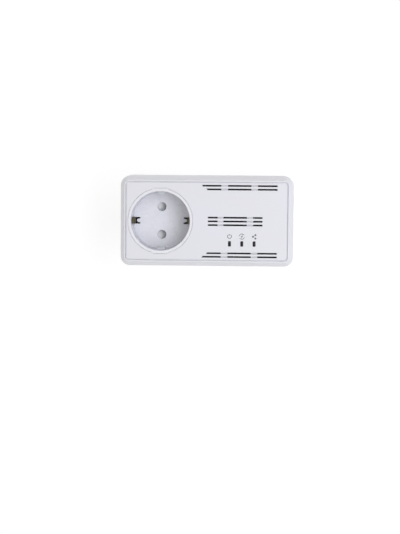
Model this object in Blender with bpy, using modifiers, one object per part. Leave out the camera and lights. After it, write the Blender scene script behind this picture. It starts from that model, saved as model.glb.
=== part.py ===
"""Powerline adapter: a mains plug with a pass-through socket and network electronics in one housing.

Frame: the origin is the centre of the plug's end face, midway between its pins. +Z runs out of the
socket's front face, +X along the body towards the network jack, and +Y across it, along the pin pair.
"""
from math import ceil, cos, pi, sin

import bmesh
import bpy
from mathutils import Matrix, Vector

MM = 0.001

# Body
BODY_LENGTH = 119 * MM
BODY_WIDTH = 63 * MM
BODY_X0 = -28.5 * MM
BODY_X1 = BODY_X0 + BODY_LENGTH
REAR_Z = 18 * MM
PARTING_Z = 29 * MM
CHAMFER_Z = 51.5 * MM
FRONT_Z = 59 * MM
CORNER_RADIUS = 7.5 * MM
WALL = 2 * MM
GAP = 0.3 * MM
SIDE_DRAFT = 1.25 * MM
EDGE_INSET = 4.1 * MM
REAR_EDGE_RADIUS = 2.5 * MM
FACE_LINE_INSET = 5.1 * MM
FACE_LINE_WIDTH = 0.5 * MM
FACE_LINE_DEPTH = 0.5 * MM
GROOVE_ZS = [PARTING_Z + 4.95 * MM * step for step in (1, 2, 3, 4)]
GROOVE_DEPTH = 0.45 * MM

# Vents: spans along X, and the rows that they repeat on
VENT_WIDTH = 1.1 * MM
SIDE_VENTS = [(24.6 * MM, 39.9 * MM), (43.2 * MM, 58.4 * MM), (61.8 * MM, 79.7 * MM)]
OUTER_VENTS = [(28.3 * MM, 40.2 * MM), (45.6 * MM, 60.3 * MM), (65.5 * MM, 78.1 * MM)]
MIDDLE_VENTS = [(31.9 * MM, 37.9 * MM), (42.7 * MM, 57.4 * MM), (62.5 * MM, 68.3 * MM)]
OUTER_ROW_Y = 23.7 * MM
INNER_ROW_Y = 21.3 * MM
MIDDLE_ROW_PITCH = 2.5 * MM
INNER_ROW_SETBACK = 3.0 * MM

# Status lights
LIGHT_XS = [46.45 * MM, 54.65 * MM, 62.9 * MM]
LIGHT_Y = -14.9 * MM
LIGHT_SLOT = (1.9 * MM, 3.6 * MM)

# Mains pins, plug and socket
PIN_RADIUS = 2.4 * MM
PIN_LENGTH = 19 * MM
PIN_DOME = 1.6 * MM
PIN_Y = 9.5 * MM
PLUG_RADIUS = 19 * MM
PLUG_FLAT_Y = 16.9 * MM
PLUG_RIB = 2.8 * MM
PLUG_CHANNEL_Y = 14.2 * MM
PLUG_FLANGE_RADIUS = 22 * MM
EARTH_HOLE_X = -10 * MM
EARTH_HOLE_RADIUS = 3.0 * MM
WELL_DEPTH = 17.5 * MM
FLOOR_Z = FRONT_Z - WELL_DEPTH
FLOOR_BOTTOM_Z = FLOOR_Z - 1.2 * MM
WELL_RADIUS = 19.6 * MM
GUIDE_RIB_HEIGHT = 9 * MM
WELL_OUTER_RADIUS = 21.65 * MM
SEAT_RADIUS = 22.2 * MM
KEY_WIDTH = 10.4 * MM
KEY_HEIGHT = 0.1 * MM
PIN_HOLE_RADIUS = 3.0 * MM
EARTH_SLOT_WIDTH = 4.6 * MM
EARTH_LEG_X = 18.4 * MM
PLUG_EARTH_X = 18.3 * MM
STRIP = 0.8 * MM

# Shutter
SHUTTER_TRAVEL = 6 * MM
SHUTTER_X = (-7.0 * MM, 3.3 * MM)
SHUTTER_HALF_Y = 13.2 * MM
SHUTTER_Z = (32.4 * MM, 40.0 * MM)
SPRING_RADIUS = 1.9 * MM
SPRING_WIRE = 0.22 * MM
SPRING_TURNS = 5

# Boards and the network jack
CARRIER_Z = (16.4 * MM, 18.3 * MM)
POWER_BOARD_Z = 22.6 * MM
MAIN_BOARD_Z = 46 * MM
BOARD = 1.6 * MM
JACK_SIZE = (16 * MM, 16 * MM, 13.4 * MM)
JACK_Y = -6 * MM
JACK_FRONT_X = 89.2 * MM
BUTTON_Y = 14 * MM
BUTTON_Z = 42.3 * MM
BUTTON_TRAVEL = 0.5 * MM
SCREW_XS = (BODY_X0 + 7.5 * MM, BODY_X1 - 7.5 * MM)
SCREW_Y = BODY_WIDTH / 2 - 7.5 * MM


def new_collection(name):
    collection = bpy.data.collections.new(name)
    bpy.context.scene.collection.children.link(collection)
    return collection


for old in list(bpy.data.objects):
    bpy.data.objects.remove(old, do_unlink=True)
PARTS = new_collection("powerline_adapter")
CUTTERS = new_collection("cutters")


# ------------------------------------------------------------------ materials
FINISHES = {  # colour, roughness, metallic
    "shell_white": ((0.83, 0.83, 0.87), 0.42, 0.0),
    "socket_white": ((0.80, 0.81, 0.85), 0.36, 0.0),
    "shutter_white": ((0.78, 0.79, 0.82), 0.45, 0.0),
    "inner_grey": ((0.32, 0.33, 0.35), 0.60, 0.0),
    "nickel": ((0.72, 0.69, 0.65), 0.22, 1.0),
    "brass": ((0.40, 0.31, 0.14), 0.34, 1.0),
    "steel": ((0.58, 0.58, 0.60), 0.35, 1.0),
    "board_green": ((0.05, 0.22, 0.12), 0.45, 0.0),
    "chip_black": ((0.03, 0.03, 0.03), 0.50, 0.0),
    "film_yellow": ((0.72, 0.58, 0.12), 0.40, 0.0),
    "disc_blue": ((0.06, 0.18, 0.50), 0.45, 0.0),
    "copper": ((0.72, 0.38, 0.20), 0.30, 1.0),
    "tape_amber": ((0.62, 0.44, 0.12), 0.35, 0.0),
    "ferrite": ((0.10, 0.10, 0.11), 0.70, 0.0),
    "sleeve_black": ((0.04, 0.04, 0.05), 0.35, 0.0),
    "aluminium": ((0.06, 0.06, 0.065), 0.40, 1.0),
    "smoked_lens": ((0.03, 0.03, 0.035), 0.15, 0.0),
    "wire_brown": ((0.24, 0.11, 0.05), 0.45, 0.0),
    "wire_blue": ((0.05, 0.13, 0.45), 0.45, 0.0),
    "paper": ((0.85, 0.85, 0.84), 0.55, 0.0),
    "gold": ((0.85, 0.64, 0.25), 0.25, 1.0),
    "led_clear": ((0.85, 0.87, 0.80), 0.30, 0.0),
}


def material(name):
    """The named finish as a Principled BSDF, made once."""
    if name in bpy.data.materials:
        return bpy.data.materials[name]
    colour, roughness, metallic = FINISHES[name]
    mat = bpy.data.materials.new(name)
    mat.use_nodes = True
    shader = mat.node_tree.nodes["Principled BSDF"]
    shader.inputs["Base Color"].default_value = (*colour, 1)
    shader.inputs["Roughness"].default_value = roughness
    shader.inputs["Metallic"].default_value = metallic
    return mat


# ------------------------------------------------------------------ outlines
def circle(radius, segments=32, centre=(0, 0)):
    turn = 2 * pi / segments
    return [(centre[0] + radius * cos(turn * i), centre[1] + radius * sin(turn * i)) for i in range(segments)]


def rounded_rectangle(x0, x1, y0, y1, radius, steps=4):
    """A rectangle's outline with an arc of the given radius at each corner."""
    points = []
    corners = [(x1 - radius, y1 - radius), (x0 + radius, y1 - radius),
               (x0 + radius, y0 + radius), (x1 - radius, y0 + radius)]
    for quarter, (x, y) in enumerate(corners):
        for step in range(steps + 1):
            angle = pi / 2 * (quarter + step / steps)
            points.append((x + radius * cos(angle), y + radius * sin(angle)))
    return points


def body_outline(inset, steps=4):
    """The body's outline, moved in by inset all round."""
    return rounded_rectangle(
        BODY_X0 + inset, BODY_X1 - inset, -BODY_WIDTH / 2 + inset, BODY_WIDTH / 2 - inset,
        CORNER_RADIUS - inset, steps)


def keyed_circle(radius, key_width, key_height, segments=64):
    """A circle with two raised keys, at +Y and -Y, whose tops are flat."""
    half_angle = key_width / 2 / radius
    points = []
    for side in (0, pi):
        top = radius + key_height
        flat = key_width / 2
        sweep = pi - 2 * half_angle
        steps = ceil(segments / 2 * sweep / pi)
        for step in range(steps + 1):
            angle = side - pi / 2 + half_angle + sweep * step / steps
            points.append((radius * cos(angle), radius * sin(angle)))
        up = 1 if side == 0 else -1
        points.append((up * flat, up * top))
        points.append((-up * flat, up * top))
    return points


def strip_outline(path, thickness):
    """The outline of a bent strip whose centre line is the given path."""
    left, right = [], []
    for i, (x, y) in enumerate(path):
        before = Vector(path[max(i - 1, 0)])
        after = Vector(path[min(i + 1, len(path) - 1)])
        here = Vector((x, y))
        first = (here - before).normalized() if i else (after - here).normalized()
        second = (after - here).normalized() if i < len(path) - 1 else first
        normal = Vector((-(first + second).y, (first + second).x)).normalized()
        reach = thickness / 2 / max(0.35, normal.dot(Vector((-first.y, first.x))))
        left.append(tuple(here + normal * reach))
        right.append(tuple(here - normal * reach))
    return left + right[::-1]


# ------------------------------------------------------------------ shapes, each added to a bmesh
def add_box(bm, lo, hi):
    centre = [(a + b) / 2 for a, b in zip(lo, hi)]
    size = [b - a for a, b in zip(lo, hi)]
    bmesh.ops.create_cube(bm, size=1, matrix=Matrix.Translation(centre) @ Matrix.Diagonal((*size, 1)))


def add_wedge(bm, corners, z_top):
    """A block with a flat top and vertical sides on a sloping, four-cornered underside."""
    shape = bmesh.new()
    lower = [shape.verts.new(corner) for corner in corners]
    upper = [shape.verts.new((x, y, z_top)) for x, y, z in corners]
    shape.faces.new(lower)
    shape.faces.new(upper)
    for i in range(4):
        j = (i + 1) % 4
        shape.faces.new((lower[i], lower[j], upper[j], upper[i]))
    mesh = bpy.data.meshes.new("wedge")
    shape.to_mesh(mesh)
    shape.free()
    add_mesh(bm, mesh)


def add_cylinder(bm, radius, z0, z1, centre=(0, 0), segments=24, tip_radius=None, placement=Matrix()):
    """A cylinder or cone between z0 and z1 in the placement's axes."""
    shift = Matrix.Translation((centre[0], centre[1], (z0 + z1) / 2))
    bmesh.ops.create_cone(
        bm, cap_ends=True, segments=segments, radius1=radius,
        radius2=radius if tip_radius is None else tip_radius, depth=z1 - z0, matrix=placement @ shift)


def add_plate(bm, outlines, z0, z1, placement=Matrix()):
    """A flat outline extruded from z0 to z1 of the placement's axes; further outlines are holes in it."""
    curve = bpy.data.curves.new("outline", "CURVE")
    curve.dimensions = "2D"
    curve.fill_mode = "BOTH"
    curve.extrude = (z1 - z0) / 2 / MM
    for outline in outlines:
        spline = curve.splines.new("POLY")
        spline.points.add(len(outline) - 1)
        for point, (x, y) in zip(spline.points, outline):
            point.co = (x / MM, y / MM, 0, 1)
        spline.use_cyclic_u = True
    carrier = bpy.data.objects.new("outline", curve)
    mesh = bpy.data.meshes.new_from_object(carrier)
    bpy.data.objects.remove(carrier)
    bpy.data.curves.remove(curve)
    mesh.transform(placement @ Matrix.Translation((0, 0, (z0 + z1) / 2)) @ Matrix.Scale(MM, 4))
    add_mesh(bm, mesh)


def add_mesh(bm, mesh):
    """Adds a mesh as a closed shape: its doubled points are welded and its faces turned outwards."""
    shape = bmesh.new()
    shape.from_mesh(mesh)
    bpy.data.meshes.remove(mesh)
    bmesh.ops.remove_doubles(shape, verts=shape.verts, dist=1e-6)
    bmesh.ops.dissolve_degenerate(shape, edges=shape.edges, dist=1e-7)
    bmesh.ops.recalc_face_normals(shape, faces=shape.faces)
    welded = bpy.data.meshes.new("welded")
    shape.to_mesh(welded)
    shape.free()
    bm.from_mesh(welded)
    bpy.data.meshes.remove(welded)


def add_loft(bm, sections):
    """A solid through stacked outlines, each an (outline, z) pair with the same number of points."""
    rings = [[bm.verts.new((x, y, z)) for x, y in outline] for outline, z in sections]
    count = len(rings[0])
    for lower, upper in zip(rings, rings[1:]):
        for i in range(count):
            j = (i + 1) % count
            bm.faces.new((lower[i], lower[j], upper[j], upper[i]))
    bm.faces.new(rings[0][::-1])
    bm.faces.new(rings[-1])


def add_tube(bm, route, radius):
    """A round wire along a route, with filled ends."""
    curve = bpy.data.curves.new("route", "CURVE")
    curve.dimensions = "3D"
    curve.bevel_depth = radius
    curve.bevel_resolution = 2
    curve.use_fill_caps = True
    spline = curve.splines.new("POLY")
    spline.points.add(len(route) - 1)
    for point, place in zip(spline.points, route):
        point.co = (*place, 1)
    carrier = bpy.data.objects.new("route", curve)
    mesh = bpy.data.meshes.new_from_object(carrier)
    bpy.data.objects.remove(carrier)
    bpy.data.curves.remove(curve)
    add_mesh(bm, mesh)


# ------------------------------------------------------------------ objects
def finished(name, bm, collection):
    mesh = bpy.data.meshes.new(name)
    bm.to_mesh(mesh)
    bm.free()
    obj = bpy.data.objects.new(name, mesh)
    collection.objects.link(obj)
    return obj


def part(name, finish, build, at=(0, 0, 0)):
    """A sub-part: build adds its shape to a bmesh, in axes whose origin is placed at the given point."""
    bm = bmesh.new()
    build(bm)
    obj = finished(name, bm, PARTS)
    obj.data.materials.append(material(finish))
    obj.location = at
    return obj


def cutter(name, build):
    """A tool for Boolean modifiers: it is no sub-part."""
    bm = bmesh.new()
    build(bm)
    obj = finished(name, bm, CUTTERS)
    obj.hide_render = True
    obj.display_type = "WIRE"
    return obj


def boolean(obj, tool, operation="DIFFERENCE", crossing=False):
    """Cuts or joins; crossing says that the tool's own shapes pass through each other."""
    modifier = obj.modifiers.new(tool.name, "BOOLEAN")
    modifier.operation = operation
    modifier.object = tool
    modifier.use_self = crossing


def turned(name, finish, profile, segments=48):
    """A turned sub-part about the Z axis; its profile runs down the outer side."""
    mesh = bpy.data.meshes.new(name)
    points = [(radius, 0, z) for radius, z in profile]
    edges = [(i, i + 1) for i in range(len(points) - 1)]
    mesh.from_pydata(points, edges, [])
    obj = bpy.data.objects.new(name, mesh)
    PARTS.objects.link(obj)
    obj.data.materials.append(material(finish))
    screw = obj.modifiers.new("turn", "SCREW")
    screw.steps = segments
    screw.render_steps = segments
    screw.use_merge_vertices = True
    screw.merge_threshold = 0.00001
    return obj


def slide_axis(name, at, *moving):
    """An empty on a sliding joint's axis, with the pieces that move with it as its children."""
    empty = bpy.data.objects.new(name, None)
    empty.location = at
    empty.empty_display_size = 5 * MM
    PARTS.objects.link(empty)
    for obj in moving:
        obj.parent = empty
        obj.matrix_parent_inverse = Matrix.Translation(-Vector(at))


# ------------------------------------------------------------------ housing
def wall_inset(z):
    """How far the body's side lies in from its widest outline at height z."""
    if z <= CHAMFER_Z:
        return SIDE_DRAFT * max(0, z - PARTING_Z) / (CHAMFER_Z - PARTING_Z)
    return SIDE_DRAFT + (EDGE_INSET - SIDE_DRAFT) * (z - CHAMFER_Z) / (FRONT_Z - CHAMFER_Z)


def front_cover_sections():
    sections = [(body_outline(0), PARTING_Z + GAP / 2)]
    for z in GROOVE_ZS:
        for dz, depth in ((-0.45, 0), (-0.3, 1), (0.3, 1), (0.45, 0)):
            sections.append((body_outline(wall_inset(z) + depth * GROOVE_DEPTH), z + dz * MM))
    sections.append((body_outline(wall_inset(CHAMFER_Z)), CHAMFER_Z))
    sections.append((body_outline(wall_inset(FRONT_Z - 0.5 * MM)), FRONT_Z - 0.5 * MM))
    sections.append((body_outline(EDGE_INSET + 0.4 * MM), FRONT_Z))
    return sections


def screw_places():
    return [(x, y) for x in SCREW_XS for y in (-SCREW_Y, SCREW_Y)]


def vent_outlines():
    """The slots in the front face; the outermost ends nearest the socket are slanted."""
    half = VENT_WIDTH / 2
    lean = INNER_ROW_SETBACK * VENT_WIDTH / (OUTER_ROW_Y - INNER_ROW_Y) / 2
    outlines = []
    for side in (-1, 1):
        for row_y, setback in ((OUTER_ROW_Y, 0), (INNER_ROW_Y, INNER_ROW_SETBACK)):
            for i, (x0, x1) in enumerate(OUTER_VENTS):
                start = x0 + (setback if i == 0 else 0)
                slant = lean if i == 0 else 0
                y = side * row_y
                outlines.append([(start - slant, y + side * half), (x1, y + side * half),
                                 (x1, y - side * half), (start + slant, y - side * half)])
    for row in (-1, 0, 1):
        for x0, x1 in MIDDLE_VENTS:
            y = row * MIDDLE_ROW_PITCH
            outlines.append([(x0, y - half), (x1, y - half), (x1, y + half), (x0, y + half)])
    return outlines


def light_slot(x, clearance=0.0):
    width, height = LIGHT_SLOT[0] + 2 * clearance, LIGHT_SLOT[1] + 2 * clearance
    return rounded_rectangle(x - width / 2, x + width / 2, LIGHT_Y - height / 2, LIGHT_Y + height / 2,
                             0.55 * MM + clearance / 2, steps=4)


def make_front_cover():
    cover = part("front_cover", "shell_white", lambda bm: add_loft(bm, front_cover_sections()))

    def cavity(bm):
        levels = [PARTING_Z - 1 * MM, CHAMFER_Z, FRONT_Z - 2.2 * MM]
        add_loft(bm, [(body_outline(wall_inset(z) + WALL), z) for z in levels])

    def posts(bm):
        for place in screw_places():
            add_cylinder(bm, 3.3 * MM, PARTING_Z + GAP, FRONT_Z, place, segments=16)

    hollow = cutter("cover_cavity", cavity)
    boolean(hollow, cutter("cover_posts", posts))
    boolean(cover, hollow)

    def face_openings(bm):
        for outline in vent_outlines() + [light_slot(x) for x in LIGHT_XS]:
            add_plate(bm, [outline], FRONT_Z - 3.5 * MM, FRONT_Z + 1 * MM)
        add_plate(bm, [keyed_circle(WELL_OUTER_RADIUS + GAP, KEY_WIDTH + 2 * GAP, KEY_HEIGHT)],
                  FRONT_Z - 3.5 * MM, FRONT_Z + 1 * MM)

    def face_line(bm):
        outer = body_outline(FACE_LINE_INSET, steps=2)
        inner = body_outline(FACE_LINE_INSET + FACE_LINE_WIDTH, steps=2)
        add_plate(bm, [outer, inner], FRONT_Z - FACE_LINE_DEPTH, FRONT_Z + 1 * MM)

    def side_openings(bm):
        for z in GROOVE_ZS:
            for x0, x1 in SIDE_VENTS:
                for side in (-1, 1):
                    ys = sorted((side * (BODY_WIDTH / 2 - 4.5 * MM), side * (BODY_WIDTH / 2 + 1 * MM)))
                    add_box(bm, (x0, ys[0], z - VENT_WIDTH / 2), (x1, ys[1], z + VENT_WIDTH / 2))

    def end_openings(bm):
        half_y, jack_z = JACK_SIZE[1] / 2 + GAP, MAIN_BOARD_Z - GAP
        add_box(bm, (BODY_X1 - 5 * MM, JACK_Y - half_y, jack_z - JACK_SIZE[2] - GAP),
                (BODY_X1 + 1 * MM, JACK_Y + half_y, jack_z + GAP))
        add_plate(bm, [button_outline(GAP)], BODY_X1 - 5 * MM, BODY_X1 + 1 * MM, END_AXES)

    def screw_holes(bm):
        for place in screw_places():
            add_cylinder(bm, 1.65 * MM, PARTING_Z - 1 * MM, PARTING_Z + 16 * MM, place, segments=12)

    for name, build in (("face_openings", face_openings), ("face_line", face_line),
                        ("side_openings", side_openings), ("end_openings", end_openings),
                        ("front_screw_holes", screw_holes)):
        boolean(cover, cutter(name, build))


def rear_cover_sections():
    """The rear tray: widest at the parting line, with a rounded edge round its rear face."""
    draft = 0.45 * MM
    sections = []
    for step in range(5):
        angle = pi / 2 * step / 4
        inset = draft + REAR_EDGE_RADIUS * (1 - sin(angle))
        z = REAR_Z + REAR_EDGE_RADIUS * (1 - cos(angle))
        sections.append((body_outline(inset), z))
    sections.append((body_outline(0.1 * MM), PARTING_Z - 2.5 * MM))
    sections.append((body_outline(0), PARTING_Z - GAP / 2))
    return sections


def make_rear_cover():
    floor = REAR_Z + 2.2 * MM

    def tray(bm):
        add_loft(bm, rear_cover_sections())

    def lip(bm):
        add_plate(bm, [body_outline(WALL + 0.4 * MM), body_outline(WALL + 1.3 * MM)],
                  PARTING_Z - 4 * MM, PARTING_Z + 2 * MM)

    def cavity(bm):
        columns = [circle(4.3 * MM, 16, place) for place in screw_places()]
        posts = [circle(2.2 * MM, 10, (x, y)) for x in (29 * MM, 63 * MM) for y in (-23 * MM, 23 * MM)]
        add_plate(bm, [body_outline(WALL + 0.45 * MM)] + columns + posts, floor, PARTING_Z + 4 * MM)

    def above_posts(bm):
        add_box(bm, (25 * MM, -27 * MM, POWER_BOARD_Z - GAP), (68 * MM, 27 * MM, PARTING_Z + 4 * MM))
        for place in screw_places():
            add_cylinder(bm, 4.8 * MM, PARTING_Z - GAP / 2, PARTING_Z + 4 * MM, place, segments=16)

    def holes(bm):
        add_cylinder(bm, PLUG_RADIUS + GAP, REAR_Z - 1 * MM, floor + 1 * MM, segments=48)
        for place in screw_places():
            add_cylinder(bm, 3.1 * MM, REAR_Z - 1 * MM, REAR_Z + 2.9 * MM, place, segments=16)
            add_cylinder(bm, 1.65 * MM, REAR_Z + 2 * MM, PARTING_Z + 1 * MM, place, segments=12)
        label = rounded_rectangle(34.7 * MM, 77.3 * MM, -17.3 * MM, 17.3 * MM, 1.3 * MM, steps=3)
        add_plate(bm, [label], REAR_Z - 1 * MM, REAR_Z + 0.6 * MM)

    cover = part("rear_cover", "shell_white", tray)
    boolean(cover, cutter("rear_cavity", cavity))
    boolean(cover, cutter("rear_clear", above_posts))
    boolean(cover, cutter("rear_holes", holes), crossing=True)
    ring = cutter("rear_lip", lip)
    boolean(cover, ring, "UNION")


def make_rating_label():
    outline = rounded_rectangle(35 * MM, 77 * MM, -17 * MM, 17 * MM, 1 * MM, steps=3)
    part("rating_label", "paper", lambda bm: add_plate(bm, [outline], REAR_Z + 0.15 * MM, REAR_Z + 0.3 * MM))


def make_cover_screws():
    """Four alike: a low head in the rear cover's recess, and a shank up into the front cover's post."""
    profile = [(0, REAR_Z + 1.0 * MM), (2.6 * MM, REAR_Z + 1.0 * MM), (2.6 * MM, REAR_Z + 2.6 * MM),
               (1.3 * MM, REAR_Z + 2.6 * MM), (1.3 * MM, PARTING_Z + 13 * MM), (0, PARTING_Z + 14 * MM)]
    for index, (x, y) in enumerate(screw_places(), start=1):
        part(f"cover_screw_{index}", "steel", lambda bm: add_spun(bm, profile, (0, 0), 12), at=(x, y, 0))


def add_spun(bm, profile, centre, segments):
    """A small turned shape, given from its axis at the bottom round to its axis at the top."""
    shape = bmesh.new()
    points = [shape.verts.new((centre[0] + radius, centre[1], z)) for radius, z in profile]
    edges = [shape.edges.new(pair) for pair in zip(points, points[1:])]
    bmesh.ops.spin(shape, geom=points + edges, cent=(*centre, 0), axis=(0, 0, 1), angle=2 * pi,
                   steps=segments, use_merge=True)
    mesh = bpy.data.meshes.new("spun")
    shape.to_mesh(mesh)
    shape.free()
    add_mesh(bm, mesh)


# ------------------------------------------------------------------ plug
def make_plug_body():
    """A cup: the nose plate, the round wall with its flats and channels, and a flange inside the body."""
    flange_z = REAR_Z + 2.5 * MM
    profile = [(0, 3 * MM), (16 * MM, 3 * MM), (16 * MM, flange_z + 1.6 * MM),
               (PLUG_FLANGE_RADIUS, flange_z + 1.6 * MM), (PLUG_FLANGE_RADIUS, flange_z),
               (PLUG_RADIUS, flange_z), (PLUG_RADIUS, 0.8 * MM), (PLUG_RADIUS - 0.8 * MM, 0), (0, 0)]
    body = turned("plug_body", "shell_white", profile, 48)

    def flats(bm):
        for side in (-1, 1):
            ys = sorted((side * PLUG_FLAT_Y, side * 25 * MM))
            add_box(bm, (-15 * MM, ys[0], -1 * MM), (15 * MM, ys[1], REAR_Z - 0.6 * MM))
            ys = sorted((side * PLUG_CHANNEL_Y, side * 25 * MM))
            for across in (-1, 1):
                xs = sorted((across * PLUG_RIB, across * 8.7 * MM))
                add_box(bm, (xs[0], ys[0], -1 * MM), (xs[1], ys[1], REAR_Z - 0.9 * MM))

    def lining(bm):
        for side in (-1, 1):
            ys = sorted((side * 12.9 * MM, side * 15.6 * MM))
            add_box(bm, (-10.2 * MM, ys[0], 1 * MM), (10.2 * MM, ys[1], CARRIER_Z[0] - GAP))
        add_cylinder(bm, 4.6 * MM, 2 * MM, 12 * MM, (EARTH_HOLE_X, 0), segments=24)

    def holes(bm):
        for side in (-1, 1):
            add_cylinder(bm, PIN_RADIUS + GAP, -1 * MM, 4 * MM, (0, side * PIN_Y), segments=24)
            xs = sorted((side * (PLUG_EARTH_X - 0.7 * MM), side * 25 * MM))
            add_box(bm, (xs[0], -2.6 * MM, -1 * MM), (xs[1], 2.6 * MM, flange_z + 2 * MM))
        add_cylinder(bm, EARTH_HOLE_RADIUS, -1 * MM, 4 * MM, (EARTH_HOLE_X, 0), segments=24)
        add_cylinder(bm, EARTH_HOLE_RADIUS + 1 * MM, 2 * MM, 13 * MM, (EARTH_HOLE_X, 0), segments=24)

    boolean(body, cutter("plug_lining", lining), "UNION", crossing=True)
    boolean(body, cutter("plug_flats", flats), crossing=True)
    boolean(body, cutter("plug_holes", holes), crossing=True)


def make_mains_pins():
    """Solid pins with a domed tip, a collar behind the nose plate, and a tenon through the contact."""
    for name, side in (("line_pin", 1), ("neutral_pin", -1)):
        profile = [(0, 20.8 * MM), (2.2 * MM, 20.8 * MM), (2.2 * MM, 19.7 * MM), (1.5 * MM, 19.7 * MM),
                   (1.5 * MM, CARRIER_Z[0] - GAP), (PIN_RADIUS, CARRIER_Z[0] - GAP), (PIN_RADIUS, 5.2 * MM),
                   (3.1 * MM, 5.2 * MM), (3.1 * MM, 3.3 * MM), (PIN_RADIUS, 3.3 * MM)]
        for step in range(4):
            angle = pi / 2 * step / 3
            radius = PIN_RADIUS - PIN_DOME * (1 - cos(angle))
            profile.append((radius, -PIN_LENGTH + PIN_DOME * (1 - sin(angle))))
        profile.append((0, -PIN_LENGTH))
        pin = turned(name, "nickel", profile, 20)
        pin.location = (0, side * PIN_Y, 0)


def make_contact_carrier():
    """The insulating disc that closes the plug's cup and carries the contacts."""
    def build(bm):
        outline = circle(15.6 * MM, 48)
        holes = [circle(1.5 * MM + GAP, 12, (0, side * PIN_Y)) for side in (-1, 1)]
        add_plate(bm, [outline] + holes, *CARRIER_Z)

    part("contact_carrier", "inner_grey", build)


# ------------------------------------------------------------------ contacts
SIDE_AXES = Matrix.Rotation(pi / 2, 4, "X")       # outline X, Y become X, Z; extrusion runs along -Y
END_AXES = Matrix(((0, 0, 1, 0), (1, 0, 0, 0), (0, 1, 0, 0), (0, 0, 0, 1)))  # outline X, Y become Y, Z


def make_mains_contacts():
    """A riveted base with two sprung leaves that grip an inserted pin."""
    base_z = CARRIER_Z[1] + GAP + 0.4 * MM
    half_leaf = [(3.6 * MM, 29.6 * MM), (2.55 * MM, 26.6 * MM), (2.75 * MM, 24.4 * MM), (3.5 * MM, 21.5 * MM),
                 (3.5 * MM, base_z)]
    path = half_leaf + [(-x, z) for x, z in reversed(half_leaf)]
    for name, side in (("line_contact", 1), ("neutral_contact", -1)):
        def build(bm):
            add_plate(bm, [strip_outline(path, 0.7 * MM)], -3 * MM, 3 * MM, SIDE_AXES)

        contact = part(name, "brass", build, at=(0, side * PIN_Y, 0))

        def rivet_hole(bm):
            add_cylinder(bm, 1.5 * MM + GAP, base_z - 2 * MM, base_z + 0.6 * MM, (0, side * PIN_Y), 16)

        boolean(contact, cutter(name + "_hole", rivet_hole))


def make_earth_contacts():
    """Two bent strips, riveted at the middle: one serves the plug's sides, the other the socket's."""
    plug_top = 23.2 * MM
    plug_path = [(-PLUG_EARTH_X, 1.4 * MM), (-PLUG_EARTH_X, plug_top), (PLUG_EARTH_X, plug_top),
                 (PLUG_EARTH_X, 1.4 * MM)]
    leg = [(19.7 * MM, 53.7 * MM), (19.2 * MM, 50.5 * MM), (18.1 * MM, 47.4 * MM), (17.9 * MM, 46.0 * MM),
           (EARTH_LEG_X, 43.4 * MM), (EARTH_LEG_X, plug_top + STRIP + GAP)]
    socket_path = [(-x, z) for x, z in leg] + list(reversed(leg))
    rivet_z = (plug_top - STRIP / 2, plug_top + STRIP * 1.5 + GAP)
    for name, path, half_width in (("plug_earth_contact", plug_path, 2.2 * MM),
                                   ("socket_earth_contact", socket_path, 2.0 * MM)):
        def build(bm):
            add_plate(bm, [strip_outline(path, STRIP)], -half_width, half_width, SIDE_AXES)

        strip = part(name, "brass", build)

        def rivet_hole(bm):
            add_cylinder(bm, 1 * MM + GAP, rivet_z[0] - 1 * MM, rivet_z[1] + 1 * MM, segments=12)

        boolean(strip, cutter(name + "_hole", rivet_hole))

    def rivet(bm):
        profile = [(0, rivet_z[0] - GAP - 0.6 * MM), (1.7 * MM, rivet_z[0] - GAP - 0.6 * MM),
                   (1.7 * MM, rivet_z[0] - GAP), (1 * MM, rivet_z[0] - GAP), (1 * MM, rivet_z[1] + GAP),
                   (1.7 * MM, rivet_z[1] + GAP), (1.7 * MM, rivet_z[1] + GAP + 0.6 * MM),
                   (0, rivet_z[1] + GAP + 0.6 * MM)]
        add_spun(bm, profile, (0, 0), 12)

    part("earth_rivet", "nickel", rivet)

    def sleeve(bm):
        outer, inner = EARTH_HOLE_RADIUS + 0.65 * MM, EARTH_HOLE_RADIUS + 0.05 * MM
        add_plate(bm, [circle(outer, 24), circle(inner, 24)], 3.4 * MM, 11.5 * MM)

    part("earth_socket_sleeve", "brass", sleeve, at=(EARTH_HOLE_X, 0, 0))


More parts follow.
